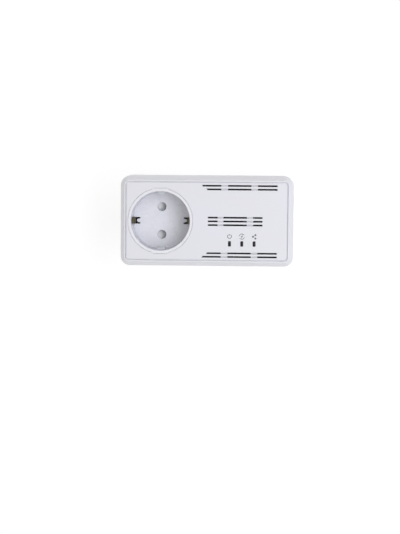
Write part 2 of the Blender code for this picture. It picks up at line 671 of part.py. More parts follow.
# ------------------------------------------------------------------ socket
def make_socket_well():
    """The recessed socket: a keyed ring in the front face, the well, and the shutter's chamber below."""
    rim, top = 0.15 * MM, FRONT_Z
    profile = [(0, FLOOR_Z), (WELL_RADIUS, FLOOR_Z), (WELL_RADIUS + 0.1 * MM, top - 0.5 * MM),
               (WELL_RADIUS + 0.35 * MM, top),
               (WELL_OUTER_RADIUS - rim, top), (WELL_OUTER_RADIUS, top - rim),
               (WELL_OUTER_RADIUS, top - 2.6 * MM), (SEAT_RADIUS, top - 2.6 * MM),
               (SEAT_RADIUS, top - 4.4 * MM), (WELL_OUTER_RADIUS, top - 4.4 * MM),
               (WELL_OUTER_RADIUS, FLOOR_BOTTOM_Z), (0, FLOOR_BOTTOM_Z)]
    well = turned("socket_well", "socket_white", profile, 48)
    chamber_x = (SHUTTER_X[0] - SHUTTER_TRAVEL - GAP, SHUTTER_X[1] + GAP)
    chamber_y = SHUTTER_HALF_Y + GAP
    chamber_wall = 1.4 * MM

    def additions(bm):
        for side in (-1, 1):
            ys = sorted((side * 20.5 * MM, side * (WELL_OUTER_RADIUS + KEY_HEIGHT)))
            add_box(bm, (-KEY_WIDTH / 2, ys[0], top - 3 * MM), (KEY_WIDTH / 2, ys[1], top))
            ys = sorted((side * 18.0 * MM, side * 20.6 * MM))
            add_box(bm, (-2.7 * MM, ys[0], FLOOR_Z - 1 * MM), (2.7 * MM, ys[1], FLOOR_Z + GUIDE_RIB_HEIGHT))

    def chamber(bm):
        outer = rounded_rectangle(chamber_x[0] - chamber_wall, chamber_x[1] + chamber_wall,
                                  -chamber_y - chamber_wall, chamber_y + chamber_wall, 0.5 * MM, steps=2)
        inner = rounded_rectangle(*chamber_x, -chamber_y, chamber_y, 0.3 * MM, steps=2)
        add_plate(bm, [outer, inner], SHUTTER_Z[0] - 0.1 * MM, FLOOR_BOTTOM_Z + 1 * MM)

    def openings(bm):
        for side in (-1, 1):
            bottom, above = FLOOR_BOTTOM_Z - 1 * MM, FLOOR_Z + 1 * MM
            add_cylinder(bm, PIN_HOLE_RADIUS, bottom, above, (0, side * PIN_Y), 32)
            half = EARTH_SLOT_WIDTH / 2
            slot = [(14.9, -half / MM), (20.3, -half / MM), (20.3, half / MM), (14.9, half / MM)]
            tip = [(14.9, 1.2), (16.1, 1.15), (16.8, 0.8), (17.1, 0)]
            tip += [(x, -y) for x, y in tip[-2::-1]]
            outline = [(side * x * MM, side * y * MM) for x, y in slot + tip]
            add_plate(bm, [outline], FLOOR_BOTTOM_Z - 1 * MM, FLOOR_Z + 0.5 * MM)
            xs = sorted((side * 18.0 * MM, side * 20.3 * MM))
            add_box(bm, (xs[0], -half, FLOOR_Z - 0.5 * MM), (xs[1], half, FLOOR_Z + 13.2 * MM))

    boolean(well, cutter("well_additions", additions), "UNION")
    boolean(well, cutter("well_chamber", chamber), "UNION")
    boolean(well, cutter("well_openings", openings), crossing=True)


def make_shutter():
    """A sliding block whose ramps close both pin holes; two pins pushed in together drive it towards -X."""
    x0, x1 = SHUTTER_X
    z0, z1 = SHUTTER_Z
    block = part("shutter", "shutter_white",
                 lambda bm: add_box(bm, (x0, -SHUTTER_HALF_Y, z0), (x1, SHUTTER_HALF_Y, z1)))

    def ramps(bm):
        foot, head = x0 + 3.6 * MM, x1 + 1 * MM
        for side in (-1, 1):
            inner, outer = side * 6 * MM, side * 14 * MM
            depths = [(foot, inner, 1.4 * MM), (head, inner, 6.6 * MM), (head, outer, 5.4 * MM),
                      (foot, outer, 0.2 * MM)]
            add_wedge(bm, [(x, y, z1 - depth) for x, y, depth in depths], z1 + 1 * MM)

    def spring_seat(bm):
        placement = Matrix.Translation((x0, 0, (z0 + z1) / 2)) @ Matrix.Rotation(pi / 2, 4, "Y")
        add_cylinder(bm, SPRING_RADIUS + 0.7 * MM, -1 * MM, 4 * MM, segments=16, placement=placement)

    boolean(block, cutter("shutter_ramps", ramps))
    boolean(block, cutter("shutter_seat", spring_seat))

    def spring(bm):
        start = x0 + 4 * MM - GAP - SPRING_WIRE
        end = x0 - SHUTTER_TRAVEL + SPRING_WIRE
        steps = SPRING_TURNS * 8
        route = []
        for step in range(steps + 1):
            share = step / steps
            angle = 2 * pi * SPRING_TURNS * share
            x = start + (end - start) * share
            route.append((x, SPRING_RADIUS * cos(angle), SPRING_RADIUS * sin(angle)))
        add_tube(bm, route, SPRING_WIRE)

    part("shutter_spring", "steel", spring, at=(0, 0, (z0 + z1) / 2))

    def cover(bm):
        x_low, x_high = x0 - SHUTTER_TRAVEL - GAP - 1.4 * MM, x1 + GAP + 1.4 * MM
        y_high = SHUTTER_HALF_Y + GAP + 1.4 * MM
        outline = rounded_rectangle(x_low, x_high, -y_high, y_high, 0.5 * MM, steps=2)
        holes = [circle(PIN_HOLE_RADIUS + 0.6 * MM, 24, (0, side * PIN_Y)) for side in (-1, 1)]
        add_plate(bm, [outline] + holes, z0 - 0.4 * MM - 1 * MM, z0 - 0.4 * MM)

    part("shutter_cover", "inner_grey", cover)
    slide_axis("shutter_axis", (0, 0, (z0 + z1) / 2), block)


# ------------------------------------------------------------------ power board
def simple_box(name, finish, size, at, below=False):
    """A block standing on a board, or hanging under it."""
    sx, sy, sz = size
    zs = (-sz, 0) if below else (0, sz)
    return part(name, finish, lambda bm: add_box(bm, (-sx / 2, -sy / 2, zs[0]), (sx / 2, sy / 2, zs[1])), at)


def make_power_board():
    top = POWER_BOARD_Z + BOARD + GAP
    outline = rounded_rectangle(26 * MM, 66 * MM, -26 * MM, 26 * MM, 1 * MM, steps=2)
    part("power_board", "board_green",
         lambda bm: add_plate(bm, [outline], POWER_BOARD_Z, POWER_BOARD_Z + BOARD))

    lying_y = Matrix.Rotation(pi / 2, 4, "X")

    def fuse(bm):
        add_cylinder(bm, 2.6 * MM, -5.5 * MM, 5.5 * MM, segments=16,
                     placement=Matrix.Translation((0, 0, 2.9 * MM)) @ lying_y)

    part("fuse", "sleeve_black", fuse, at=(31 * MM, 19.6 * MM, top))

    part("varistor", "disc_blue", lambda bm: add_cylinder(
        bm, 5 * MM, -1.9 * MM, 1.9 * MM, segments=20,
        placement=Matrix.Translation((0, 0, 5.2 * MM)) @ Matrix.Rotation(pi / 2, 4, "Y")),
        at=(30 * MM, 5 * MM, top))
    simple_box("filter_capacitor", "film_yellow", (8 * MM, 15 * MM, 13 * MM), (32 * MM, -17 * MM, top))

    def choke(bm):
        placement = Matrix.Translation((0, 0, 7.5 * MM)) @ Matrix.Rotation(pi / 2, 4, "Y")
        add_plate(bm, [circle(7 * MM, 24), circle(3 * MM, 16)], -4 * MM, 4 * MM, placement)

    part("common_mode_choke", "copper", choke, at=(42 * MM, -16 * MM, top))
    simple_box("bridge_rectifier", "chip_black", (8 * MM, 4 * MM, 7 * MM), (40.5 * MM, -2 * MM, top))

    def can(radius, length):
        chamfer = 0.6 * MM
        return [(0, 0), (radius, 0), (radius, length - chamfer), (radius - chamfer, length), (0, length)]

    part("bulk_capacitor", "sleeve_black", lambda bm: add_spun(bm, can(6.2 * MM, 17 * MM), (0, 0), 20),
         at=(42 * MM, 14 * MM, top))

    def transformer(bm):
        core = [(-8 * MM, 0), (8 * MM, 0), (8 * MM, 14 * MM), (-8 * MM, 14 * MM)]
        add_plate(bm, [core], -4 * MM, 4 * MM, SIDE_AXES)

    block = part("flyback_transformer", "ferrite", transformer, at=(58 * MM, 10 * MM, top))

    def windings(bm):
        add_box(bm, (52.5 * MM, 3.2 * MM, top + 2.5 * MM), (63.5 * MM, 16.8 * MM, top + 11.5 * MM))

    boolean(block, cutter("transformer_windings", windings), "UNION")
    part("output_capacitor", "sleeve_black", lambda bm: add_spun(bm, can(4 * MM, 12 * MM), (0, 0), 16),
         at=(57 * MM, -4.5 * MM, top))
    simple_box("optocoupler", "chip_black", (6.4 * MM, 4.6 * MM, 3.4 * MM), (49.5 * MM, -4.5 * MM, top))
    simple_box("output_choke", "ferrite", (7 * MM, 7 * MM, 6 * MM), (58 * MM, -14.5 * MM, top))


def smooth_route(points, steps=6):
    """Points along a smooth curve through the route's own points (Catmull-Rom)."""
    places = [Vector(p) for p in points]
    places = [2 * places[0] - places[1]] + places + [2 * places[-1] - places[-2]]
    route = []
    for a, b, c, d in zip(places, places[1:], places[2:], places[3:]):
        for step in range(steps):
            t = step / steps
            route.append(0.5 * (2 * b + (c - a) * t + (2 * a - 5 * b + 4 * c - d) * t ** 2
                                + (3 * b - a - 3 * c + d) * t ** 3))
    route.append(places[-2])
    return route


def make_mains_wires():
    """Insulated leads from the contacts' bases, over the plug's flange, down to the power board."""
    for name, side, finish in (("line_wire", 1, "wire_brown"), ("neutral_wire", -1, "wire_blue")):
        route = [(5.2, 10.0, 19.6), (7.6, 10.3, 20.4), (11.5, 11.0, 24.0), (17, 12.2, 26.2), (22, 12.6, 26.6),
                 (25.6, 12.6, 26.3), (27.4, 12.6, 25.4)]
        points = [Vector((x, side * y, z)) * MM for x, y, z in route]
        part(name, finish, lambda bm: add_tube(bm, smooth_route(points, 3), 0.9 * MM))


# ------------------------------------------------------------------ main board
def make_main_board():
    half, end_half = 26.8 * MM, 19.2 * MM
    outline = [(25.6 * MM, -half), (78.4 * MM, -half), (78.4 * MM, -end_half), (87 * MM, -end_half),
               (87 * MM, end_half), (78.4 * MM, end_half), (78.4 * MM, half), (25.6 * MM, half)]
    part("main_board", "board_green", lambda bm: add_plate(bm, [outline], MAIN_BOARD_Z, MAIN_BOARD_Z + BOARD))
    sheet = rounded_rectangle(26 * MM, 69 * MM, -25 * MM, 25 * MM, 1 * MM, steps=2)
    slot = rounded_rectangle(50 * MM, 66 * MM, -24.5 * MM, -20.5 * MM, 0.5 * MM, steps=2)
    part("insulation_sheet", "tape_amber", lambda bm: add_plate(bm, [sheet, slot], 44.4 * MM, 44.8 * MM))

    top, under = MAIN_BOARD_Z + BOARD + GAP, MAIN_BOARD_Z - GAP
    simple_box("powerline_chip", "chip_black", (14 * MM, 14 * MM, 1.4 * MM), (48 * MM, 6 * MM, top))

    def fins(bm):
        comb = [(-7.5, 0)]
        for fin in range(6):
            x = -7.5 + fin * 2.8
            comb += [(x, 5.2), (x + 1.0, 5.2), (x + 1.0, 1.2), (x + 2.8, 1.2)]
        comb = comb[:-1] + [(7.5, 0)]
        add_plate(bm, [[(x * MM, y * MM) for x, y in comb]], -7 * MM, 7 * MM, SIDE_AXES)

    part("heat_sink", "aluminium", fins, at=(48 * MM, 6 * MM, top + 1.4 * MM + GAP))
    simple_box("memory_chip", "chip_black", (10 * MM, 6 * MM, 1.1 * MM), (62 * MM, 6 * MM, top))
    simple_box("front_end_chip", "chip_black", (7 * MM, 7 * MM, 1.0 * MM), (34 * MM, 6 * MM, top))
    simple_box("coupling_transformer", "ferrite", (9 * MM, 9 * MM, 5.5 * MM), (34 * MM, -12 * MM, top))
    simple_box("network_magnetics", "chip_black", (9 * MM, 15 * MM, 5 * MM), (76 * MM, -6 * MM, top))

    def crystal(bm):
        can = rounded_rectangle(-5.4 * MM, 5.4 * MM, -2.2 * MM, 2.2 * MM, 2.1 * MM, steps=4)
        add_plate(bm, [can], 0, 3.2 * MM)

    part("crystal", "steel", crystal, at=(62 * MM, 16 * MM, top))

    def header(bm):
        height = MAIN_BOARD_Z - POWER_BOARD_Z - BOARD - 2 * GAP
        add_box(bm, (-6.4 * MM, -1.25 * MM, 0), (6.4 * MM, 1.25 * MM, height))

    part("board_header", "sleeve_black", header, at=(58 * MM, -22.5 * MM, POWER_BOARD_Z + BOARD + GAP))


def make_status_lights():
    """A light-emitting diode under each slot, and one clear piece that carries the light to the face."""
    top = MAIN_BOARD_Z + BOARD + GAP
    for name, x in zip(("power_led", "link_led", "network_led"), LIGHT_XS):
        simple_box(name, "led_clear", (1.6 * MM, 2 * MM, 0.9 * MM), (x, LIGHT_Y, top))

    def bar(bm):
        add_box(bm, (LIGHT_XS[0] - 3.4 * MM, LIGHT_Y - 2.6 * MM, 54 * MM),
                (LIGHT_XS[2] + 3.4 * MM, LIGHT_Y + 2.6 * MM, 55.6 * MM))

    rail = part("light_guide", "smoked_lens", bar)
    for index, x in enumerate(LIGHT_XS):
        def pipe(bm):
            add_plate(bm, [light_slot(x, -GAP)], 49.6 * MM, FRONT_Z - GAP)

        boolean(rail, cutter(f"light_pipe_{index}", pipe), "UNION")


def make_network_jack():
    """A shielded eight-contact jack that hangs under the main board and opens at the body's end."""
    length, width, height = JACK_SIZE
    z1 = MAIN_BOARD_Z - GAP
    z0 = z1 - height
    x1 = JACK_FRONT_X
    x0 = x1 - length
    skin = 0.5 * MM
    y0, y1 = JACK_Y - width / 2, JACK_Y + width / 2
    shell = part("jack_shell", "steel", lambda bm: add_box(bm, (x0, y0, z0), (x1, y1, z1)))
    boolean(shell, cutter("jack_inside", lambda bm: add_box(
        bm, (x0 + skin, y0 + skin, z0 + skin), (x1 + 1 * MM, y1 - skin, z1 - skin))))
    inner = skin + GAP
    insert = part("jack_insert", "sleeve_black", lambda bm: add_box(
        bm, (x0 + inner, y0 + inner, z0 + inner), (x1 - 0.4 * MM, y1 - inner, z1 - inner)))

    def mouth(bm):
        plug = (JACK_Y - 5.9 * MM, JACK_Y + 5.9 * MM, z0 + 3.6 * MM, z0 + 10.8 * MM)
        latch = (JACK_Y - 3.1 * MM, JACK_Y + 3.1 * MM, z0 + 1.9 * MM, z0 + 4.0 * MM)
        for left, right, low, high in (plug, latch):
            add_box(bm, (x1 - 13.2 * MM, left, low), (x1 + 1 * MM, right, high))

    boolean(insert, cutter("jack_mouth", mouth), crossing=True)

    def springs(bm):
        pitch, half = 1.02 * MM, 0.22 * MM
        back, root, tip = x1 - 13.0 * MM, x1 - 12.0 * MM, x1 - 4.4 * MM
        comb = [(back, JACK_Y + 4 * pitch), (back, JACK_Y - 4 * pitch)]
        for index in range(8):
            y = JACK_Y + (index - 3.5) * pitch
            comb += [(root, y - half), (tip, y - half), (tip, y + half), (root, y + half)]
        add_plate(bm, [comb], z0 + 9.4 * MM, z0 + 9.8 * MM)

    part("jack_contacts", "gold", springs)


def button_outline(clearance):
    return rounded_rectangle(BUTTON_Y - 3.8 * MM - clearance, BUTTON_Y + 3.8 * MM + clearance,
                             BUTTON_Z - 1.9 * MM - clearance, BUTTON_Z + 1.9 * MM + clearance,
                             1.85 * MM + clearance, steps=5)


def make_pair_button():
    """A push cap in the end wall, held by its flange, with the side-actuated switch behind it."""
    wide = rounded_rectangle(BUTTON_Y - 4.9 * MM, BUTTON_Y + 4.9 * MM,
                             BUTTON_Z - 2.9 * MM, BUTTON_Z + 2.9 * MM, 2.8 * MM, steps=3)
    inner_wall = BODY_X1 - wall_inset(BUTTON_Z) - WALL
    cap = part("pair_button", "shell_white", lambda bm: add_plate(
        bm, [button_outline(0)], inner_wall - 1.6 * MM, BODY_X1 - 0.6 * MM, END_AXES))
    flange = cutter("button_flange", lambda bm: add_plate(
        bm, [wide], inner_wall - 1.8 * MM, inner_wall - 0.5 * MM, END_AXES))
    boolean(cap, flange, "UNION")
    lying_x = Matrix.Translation((0, BUTTON_Y, BUTTON_Z)) @ Matrix.Rotation(pi / 2, 4, "Y")
    switch_front = inner_wall - 4.2 * MM
    plunger = part("switch_plunger", "sleeve_black", lambda bm: add_cylinder(
        bm, 1.5 * MM, switch_front - 1 * MM, inner_wall - 1.8 * MM - GAP, segments=16, placement=lying_x))
    body = part("switch_body", "chip_black", lambda bm: add_box(
        bm, (switch_front - 3.6 * MM, BUTTON_Y - 3 * MM, BUTTON_Z - 3 * MM),
        (switch_front, BUTTON_Y + 3 * MM, BUTTON_Z + 3 * MM)))
    boolean(body, cutter("plunger_bore", lambda bm: add_cylinder(
        bm, 1.5 * MM + GAP, switch_front - 2 * MM, switch_front + 1 * MM, segments=16, placement=lying_x)))
    slide_axis("pair_button_axis", (BODY_X1, BUTTON_Y, BUTTON_Z), cap, plunger)


make_front_cover()
make_rear_cover()
make_rating_label()
make_cover_screws()
make_plug_body()
make_mains_pins()
make_contact_carrier()
make_mains_contacts()
make_earth_contacts()
make_socket_well()
make_shutter()
make_power_board()
make_mains_wires()
make_main_board()
make_status_lights()
make_network_jack()
make_pair_button()
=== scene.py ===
from math import ceil, cos, pi, radians, sin, tan

import bmesh
import bpy
from mathutils import Matrix, Vector


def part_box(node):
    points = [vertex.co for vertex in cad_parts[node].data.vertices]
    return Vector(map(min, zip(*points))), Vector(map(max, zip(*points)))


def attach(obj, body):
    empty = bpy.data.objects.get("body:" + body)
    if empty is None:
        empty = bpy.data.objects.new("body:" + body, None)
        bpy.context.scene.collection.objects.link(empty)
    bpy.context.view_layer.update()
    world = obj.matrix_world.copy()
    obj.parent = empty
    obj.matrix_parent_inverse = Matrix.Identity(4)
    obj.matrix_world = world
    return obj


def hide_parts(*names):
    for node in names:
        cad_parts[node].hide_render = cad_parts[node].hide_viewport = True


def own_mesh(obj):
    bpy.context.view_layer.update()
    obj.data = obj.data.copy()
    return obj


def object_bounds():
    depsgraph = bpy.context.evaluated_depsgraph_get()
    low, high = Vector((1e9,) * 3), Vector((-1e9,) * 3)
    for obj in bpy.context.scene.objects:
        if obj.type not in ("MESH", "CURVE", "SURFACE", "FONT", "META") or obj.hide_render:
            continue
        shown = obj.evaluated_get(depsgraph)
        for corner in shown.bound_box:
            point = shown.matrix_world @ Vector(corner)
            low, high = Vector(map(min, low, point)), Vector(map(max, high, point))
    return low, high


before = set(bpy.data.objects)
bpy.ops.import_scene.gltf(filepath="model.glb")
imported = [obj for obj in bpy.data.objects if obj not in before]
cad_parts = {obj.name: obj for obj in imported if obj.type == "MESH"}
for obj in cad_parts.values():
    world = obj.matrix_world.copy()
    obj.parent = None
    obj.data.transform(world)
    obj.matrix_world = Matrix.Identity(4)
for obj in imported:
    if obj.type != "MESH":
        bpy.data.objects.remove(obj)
cad_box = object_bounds()

MM = 0.001

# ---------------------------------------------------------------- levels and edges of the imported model
SHELL_LO, SHELL_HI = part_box("front_cover")
JACK_LO, JACK_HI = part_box("jack_shell")
CAP_LO, CAP_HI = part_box("pair_button")
CAP_Y = (CAP_LO.y + CAP_HI.y) / 2
CAP_Z = (CAP_LO.z + CAP_HI.z) / 2
WELL_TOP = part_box("socket_well")[1].z
X0, X1 = SHELL_LO.x, SHELL_HI.x
HALF_WIDTH = SHELL_HI.y
FRONT_Z = SHELL_HI.z
REAR_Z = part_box("rear_cover")[0].z
GAP = 0.3 * MM
PARTING_Z = SHELL_LO.z - GAP / 2

# ---------------------------------------------------------------- sizes of the covers, socket and plug
WALL = 2 * MM
CHAMFER_Z = FRONT_Z - 7.5 * MM
CORNER = 7.5 * MM
SIDE_DRAFT = 1.25 * MM
EDGE_INSET = 4.1 * MM
FACE_Z = FRONT_Z - 0.02 * MM
GROOVE_ZS = [PARTING_Z + 4.95 * MM * step for step in (1, 2, 3, 4)]
BORDER_GROOVE = ((5.14, 0), (5.18, -1.2), (5.82, -1.2), (5.86, 0))    # inset and height in mm
BORDER_END = 5.92 * MM
VENT = 1.1 * MM
OUTER_VENTS = [(28.3 * MM, 40.2 * MM), (45.6 * MM, 60.3 * MM), (65.5 * MM, 78.1 * MM)]
MIDDLE_VENTS = [(31.9 * MM, 37.9 * MM), (42.7 * MM, 57.4 * MM), (62.5 * MM, 68.3 * MM)]
SIDE_VENTS = [(24.6 * MM, 39.9 * MM), (43.2 * MM, 58.4 * MM), (61.8 * MM, 79.7 * MM)]
OUTER_ROW, INNER_ROW, SETBACK = 23.7 * MM, 21.3 * MM, 3.0 * MM
LEAN = SETBACK * VENT / (OUTER_ROW - INNER_ROW) / 2
LIGHT_XS = [46.45 * MM, 54.65 * MM, 62.9 * MM]
LIGHT_Y = -14.9 * MM
SCREW_PLACES = [(x, y) for x in (X0 + 7.5 * MM, X1 - 7.5 * MM)
                for y in (-HALF_WIDTH + 7.5 * MM, HALF_WIDTH - 7.5 * MM)]
SCREW_BORE = 1.65 * MM
WELL_FLOOR = WELL_TOP - 17.5 * MM
RING = 21.65 * MM
PIN_Y = 9.5 * MM
PLUG_RADIUS = 19 * MM
EARTH_HOLE = (-10 * MM, 0)

SIDE_AXES = Matrix.Rotation(pi / 2, 4, "X")       # outline X, Y become X, Z; depth runs along -Y
END_AXES = Matrix(((0, 0, 1, 0), (1, 0, 0, 0), (0, 1, 0, 0), (0, 0, 0, 1)))  # outline X, Y become Y, Z


# ---------------------------------------------------------------- outlines
def circle(radius, segments=64, centre=(0, 0)):
    x, y = centre
    turn = 2 * pi / segments
    return [(x + radius * cos(turn * i), y + radius * sin(turn * i)) for i in range(segments)]


def rounded_rectangle(x0, x1, y0, y1, radius, steps=8):
    points = []
    corners = [(x1 - radius, y1 - radius), (x0 + radius, y1 - radius),
               (x0 + radius, y0 + radius), (x1 - radius, y0 + radius)]
    for quarter, (x, y) in enumerate(corners):
        for step in range(steps + 1):
            angle = pi / 2 * (quarter + step / steps)
            points.append((x + radius * cos(angle), y + radius * sin(angle)))
    return points


def body_outline(inset, steps=12):
    return rounded_rectangle(X0 + inset, X1 - inset, -HALF_WIDTH + inset, HALF_WIDTH - inset,
                             max(CORNER - inset, 0.06 * MM), steps)


def keyed_circle(radius, key_width, key_height, segments=128):
    """A circle with a raised, flat-topped key at +Y and at -Y."""
    half_angle = key_width / 2 / radius
    sweep = pi - 2 * half_angle
    steps = ceil(segments / 2 * sweep / pi)
    points = []
    for side in (0, pi):
        for step in range(steps + 1):
            angle = side - pi / 2 + half_angle + sweep * step / steps
            points.append((radius * cos(angle), radius * sin(angle)))
        up = 1 if side == 0 else -1
        top = up * (radius + key_height)
        points.append((up * (key_width / 2 - 0.5 * MM), top))
        points.append((-up * (key_width / 2 - 0.5 * MM), top))
    return points


def grown(outline, distance):
    """The outline with each side moved outwards by the distance."""
    count = len(outline)
    area = sum(a[0] * b[1] - b[0] * a[1] for a, b in zip(outline, outline[1:] + outline[:1]))
    sign = 1 if area > 0 else -1
    result = []
    for i, (x, y) in enumerate(outline):
        before, after = Vector(outline[i - 1]), Vector(outline[(i + 1) % count])
        here = Vector((x, y))
        first, second = (here - before).normalized(), (after - here).normalized()
        n1, n2 = Vector((first.y, -first.x)) * sign, Vector((second.y, -second.x)) * sign
        middle = (n1 + n2).normalized()
        result.append(tuple(here + middle * distance / max(0.3, middle.dot(n1))))
    return result


def softened(points, radii, steps=4):
    """A polyline with each inner corner turned into an arc of its own radius."""
    result = [points[0]]
    for i in range(1, len(points) - 1):
        radius = radii[i] if isinstance(radii, (list, tuple)) else radii
        here = Vector(points[i])
        first = (Vector(points[i - 1]) - here)
        second = (Vector(points[i + 1]) - here)
        opening = first.angle(second, pi)
        if radius <= 0 or opening > pi - 0.02:
            result.append(tuple(here))
            continue
        reach = min(radius / tan(opening / 2), first.length * 0.49, second.length * 0.49)
        radius = reach * tan(opening / 2)
        start, end = here + first.normalized() * reach, here + second.normalized() * reach
        centre = here + (first.normalized() + second.normalized()).normalized() * radius / sin(opening / 2)
        for step in range(steps + 1):
            share = step / steps
            along = ((start - centre) * (1 - share) + (end - centre) * share)
            result.append(tuple(centre + along.normalized() * radius))
    result.append(points[-1])
    return result


def strip_outline(path, thickness):
    """The outline of a bent strip whose centre line is the path."""
    left, right = [], []
    for i, place in enumerate(path):
        here = Vector(place)
        before, after = Vector(path[max(i - 1, 0)]), Vector(path[min(i + 1, len(path) - 1)])
        first = (here - before).normalized() if i else (after - here).normalized()
        second = (after - here).normalized() if i < len(path) - 1 else first
        normal = Vector((-(first + second).y, (first + second).x)).normalized()
        left.append(tuple(here + normal * thickness / 2))
        right.append(tuple(here - normal * thickness / 2))
    return left + right[::-1]


# ---------------------------------------------------------------- shapes, added to a bmesh
def add_shape(bm, shape):
    bmesh.ops.recalc_face_normals(shape, faces=shape.faces)
    mesh = bpy.data.meshes.new("shape")
    shape.to_mesh(mesh)
    shape.free()
    bm.from_mesh(mesh)
    bpy.data.meshes.remove(mesh)


def add_box(bm, lo, hi, soft=0.0, placement=Matrix()):
    shape = bmesh.new()
    centre = [(a + b) / 2 for a, b in zip(lo, hi)]
    size = [abs(b - a) for a, b in zip(lo, hi)]
    bmesh.ops.create_cube(shape, size=1,
                          matrix=placement @ Matrix.Translation(centre) @ Matrix.Diagonal((*size, 1)))
    if soft:
        bmesh.ops.bevel(shape, geom=list(shape.edges), offset=soft, segments=3, affect="EDGES", profile=0.5)
    add_shape(bm, shape)


def add_cylinder(bm, radius, z0, z1, centre=(0, 0), segments=48, placement=Matrix()):
    shape = bmesh.new()
    bmesh.ops.create_cone(shape, cap_ends=True, segments=segments, radius1=radius, radius2=radius,
                          depth=z1 - z0, matrix=placement @ Matrix.Translation((*centre, (z0 + z1) / 2)))
    add_shape(bm, shape)


def add_loft(bm, sections, placement=Matrix()):
    """A solid through stacked outlines, each an (outline, z) pair with the same number of points."""
    shape = bmesh.new()
    rings = []
    for outline, z in sections:
        rings.append([shape.verts.new(placement @ Vector((x, y, z))) for x, y in outline])
    count = len(rings[0])
    for lower, upper in zip(rings, rings[1:]):
        for i in range(count):
            j = (i + 1) % count
            shape.faces.new((lower[i], lower[j], upper[j], upper[i]))
    shape.faces.new(rings[0][::-1])
    shape.faces.new(rings[-1])
    add_shape(bm, shape)


def add_plate(bm, outlines, z0, z1, placement=Matrix()):
    """An outline extruded from z0 to z1; further outlines are holes in it."""
    curve = bpy.data.curves.new("outline", "CURVE")
    curve.dimensions = "2D"
    curve.fill_mode = "BOTH"
    curve.extrude = (z1 - z0) / 2 / MM
    for outline in outlines:
        spline = curve.splines.new("POLY")
        spline.points.add(len(outline) - 1)
        for point, (x, y) in zip(spline.points, outline):
            point.co = (x / MM, y / MM, 0, 1)
        spline.use_cyclic_u = True
    carrier = bpy.data.objects.new("outline", curve)
    mesh = bpy.data.meshes.new_from_object(carrier)
    bpy.data.objects.remove(carrier)
    bpy.data.curves.remove(curve)
    mesh.transform(placement @ Matrix.Translation((0, 0, (z0 + z1) / 2)) @ Matrix.Scale(MM, 4))
    shape = bmesh.new()
    shape.from_mesh(mesh)
    bpy.data.meshes.remove(mesh)
    bmesh.ops.remove_doubles(shape, verts=shape.verts, dist=1e-6)
    add_shape(bm, shape)


def add_turned(bm, profile, segments, centre=(0, 0)):
    """A turned shape about Z; its profile starts and ends on the axis."""
    shape = bmesh.new()
    rings = []
    for radius, z in profile:
        if radius < 1e-9:
            rings.append([shape.verts.new((*centre, z))])
        else:
            rings.append([shape.verts.new((x, y, z)) for x, y in circle(radius, segments, centre)])
    for lower, upper in zip(rings, rings[1:]):
        for i in range(segments):
            j = (i + 1) % segments
            corners = [ring[k % len(ring)] for ring, k in ((lower, i), (lower, j), (upper, j), (upper, i))]
            corners = [v for k, v in enumerate(corners) if v not in corners[:k]]
            if len(corners) > 2:
                shape.faces.new(corners)
    add_shape(bm, shape)


def add_tube(bm, route, radius):
    curve = bpy.data.curves.new("route", "CURVE")
    curve.dimensions = "3D"
    curve.bevel_depth = radius
    curve.bevel_resolution = 2
    curve.use_fill_caps = True
    spline = curve.splines.new("POLY")
    spline.points.add(len(route) - 1)
    for point, place in zip(spline.points, route):
        point.co = (*place, 1)
    carrier = bpy.data.objects.new("route", curve)
    mesh = bpy.data.meshes.new_from_object(carrier)
    bpy.data.objects.remove(carrier)
    bpy.data.curves.remove(curve)
    shape = bmesh.new()
    shape.from_mesh(mesh)
    bpy.data.meshes.remove(mesh)
    bmesh.ops.remove_doubles(shape, verts=shape.verts, dist=1e-6)
    add_shape(bm, shape)


# ---------------------------------------------------------------- objects
def solid(name, build):
    bm = bmesh.new()
    build(bm)
    mesh = bpy.data.meshes.new(name)
    bm.to_mesh(mesh)
    bm.free()
    obj = bpy.data.objects.new(name, mesh)
    bpy.context.scene.collection.objects.link(obj)
    return obj


def cut(obj, *steps):
    """Applies Boolean steps, each (operation, build), and True where the shapes that build adds overlap."""
    for operation, build, *overlap in steps:
        tool = solid("tool", build)
        modifier = obj.modifiers.new("boolean", "BOOLEAN")
        modifier.operation = operation
        modifier.solver = "EXACT"
        modifier.use_self = bool(overlap)
        modifier.object = tool
        graph = bpy.context.evaluated_depsgraph_get()
        mesh = bpy.data.meshes.new_from_object(obj.evaluated_get(graph))
        obj.modifiers.remove(modifier)
        old = obj.data
        obj.data = mesh
        bpy.data.meshes.remove(old)
        bpy.data.objects.remove(tool)


def smooth(mesh, angle):
    """Smooth faces, with the edges that turn more than the angle kept crisp."""
    bm = bmesh.new()
    bm.from_mesh(mesh)
    for face in bm.faces:
        face.smooth = True
    for edge in bm.edges:
        edge.smooth = len(edge.link_faces) == 2 and edge.calc_face_angle(pi) < radians(angle)
    bm.to_mesh(mesh)
    bm.free()


def show(obj, finish, body, slot, *nodes, angle=32, soft=0.0):
    """Finishes a piece: smooth shading, material, the body it rides on and the nodes it stands for."""
    if soft:
        bevel = obj.modifiers.new("soft_edges", "BEVEL")
        bevel.width = soft
        bevel.segments = 2
        bevel.limit_method = "ANGLE"
        bevel.angle_limit = radians(40)
        graph = bpy.context.evaluated_depsgraph_get()
        mesh = bpy.data.meshes.new_from_object(obj.evaluated_get(graph))
        obj.modifiers.remove(bevel)
        obj.data = mesh
    smooth(obj.data, angle)
    obj.data.materials.clear()
    obj.data.materials.append(finish)
    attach(obj, body)
    if nodes:
        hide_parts(*nodes)


# ---------------------------------------------------------------- materials
def noise(tree, vector, scale, detail=4.0, roughness=0.55):
    node = tree.nodes.new("ShaderNodeTexNoise")
    node.inputs["Scale"].default_value = scale
    node.inputs["Detail"].default_value = detail
    node.inputs["Roughness"].default_value = roughness
    tree.links.new(vector, node.inputs["Vector"])
    return node.outputs["Fac"]


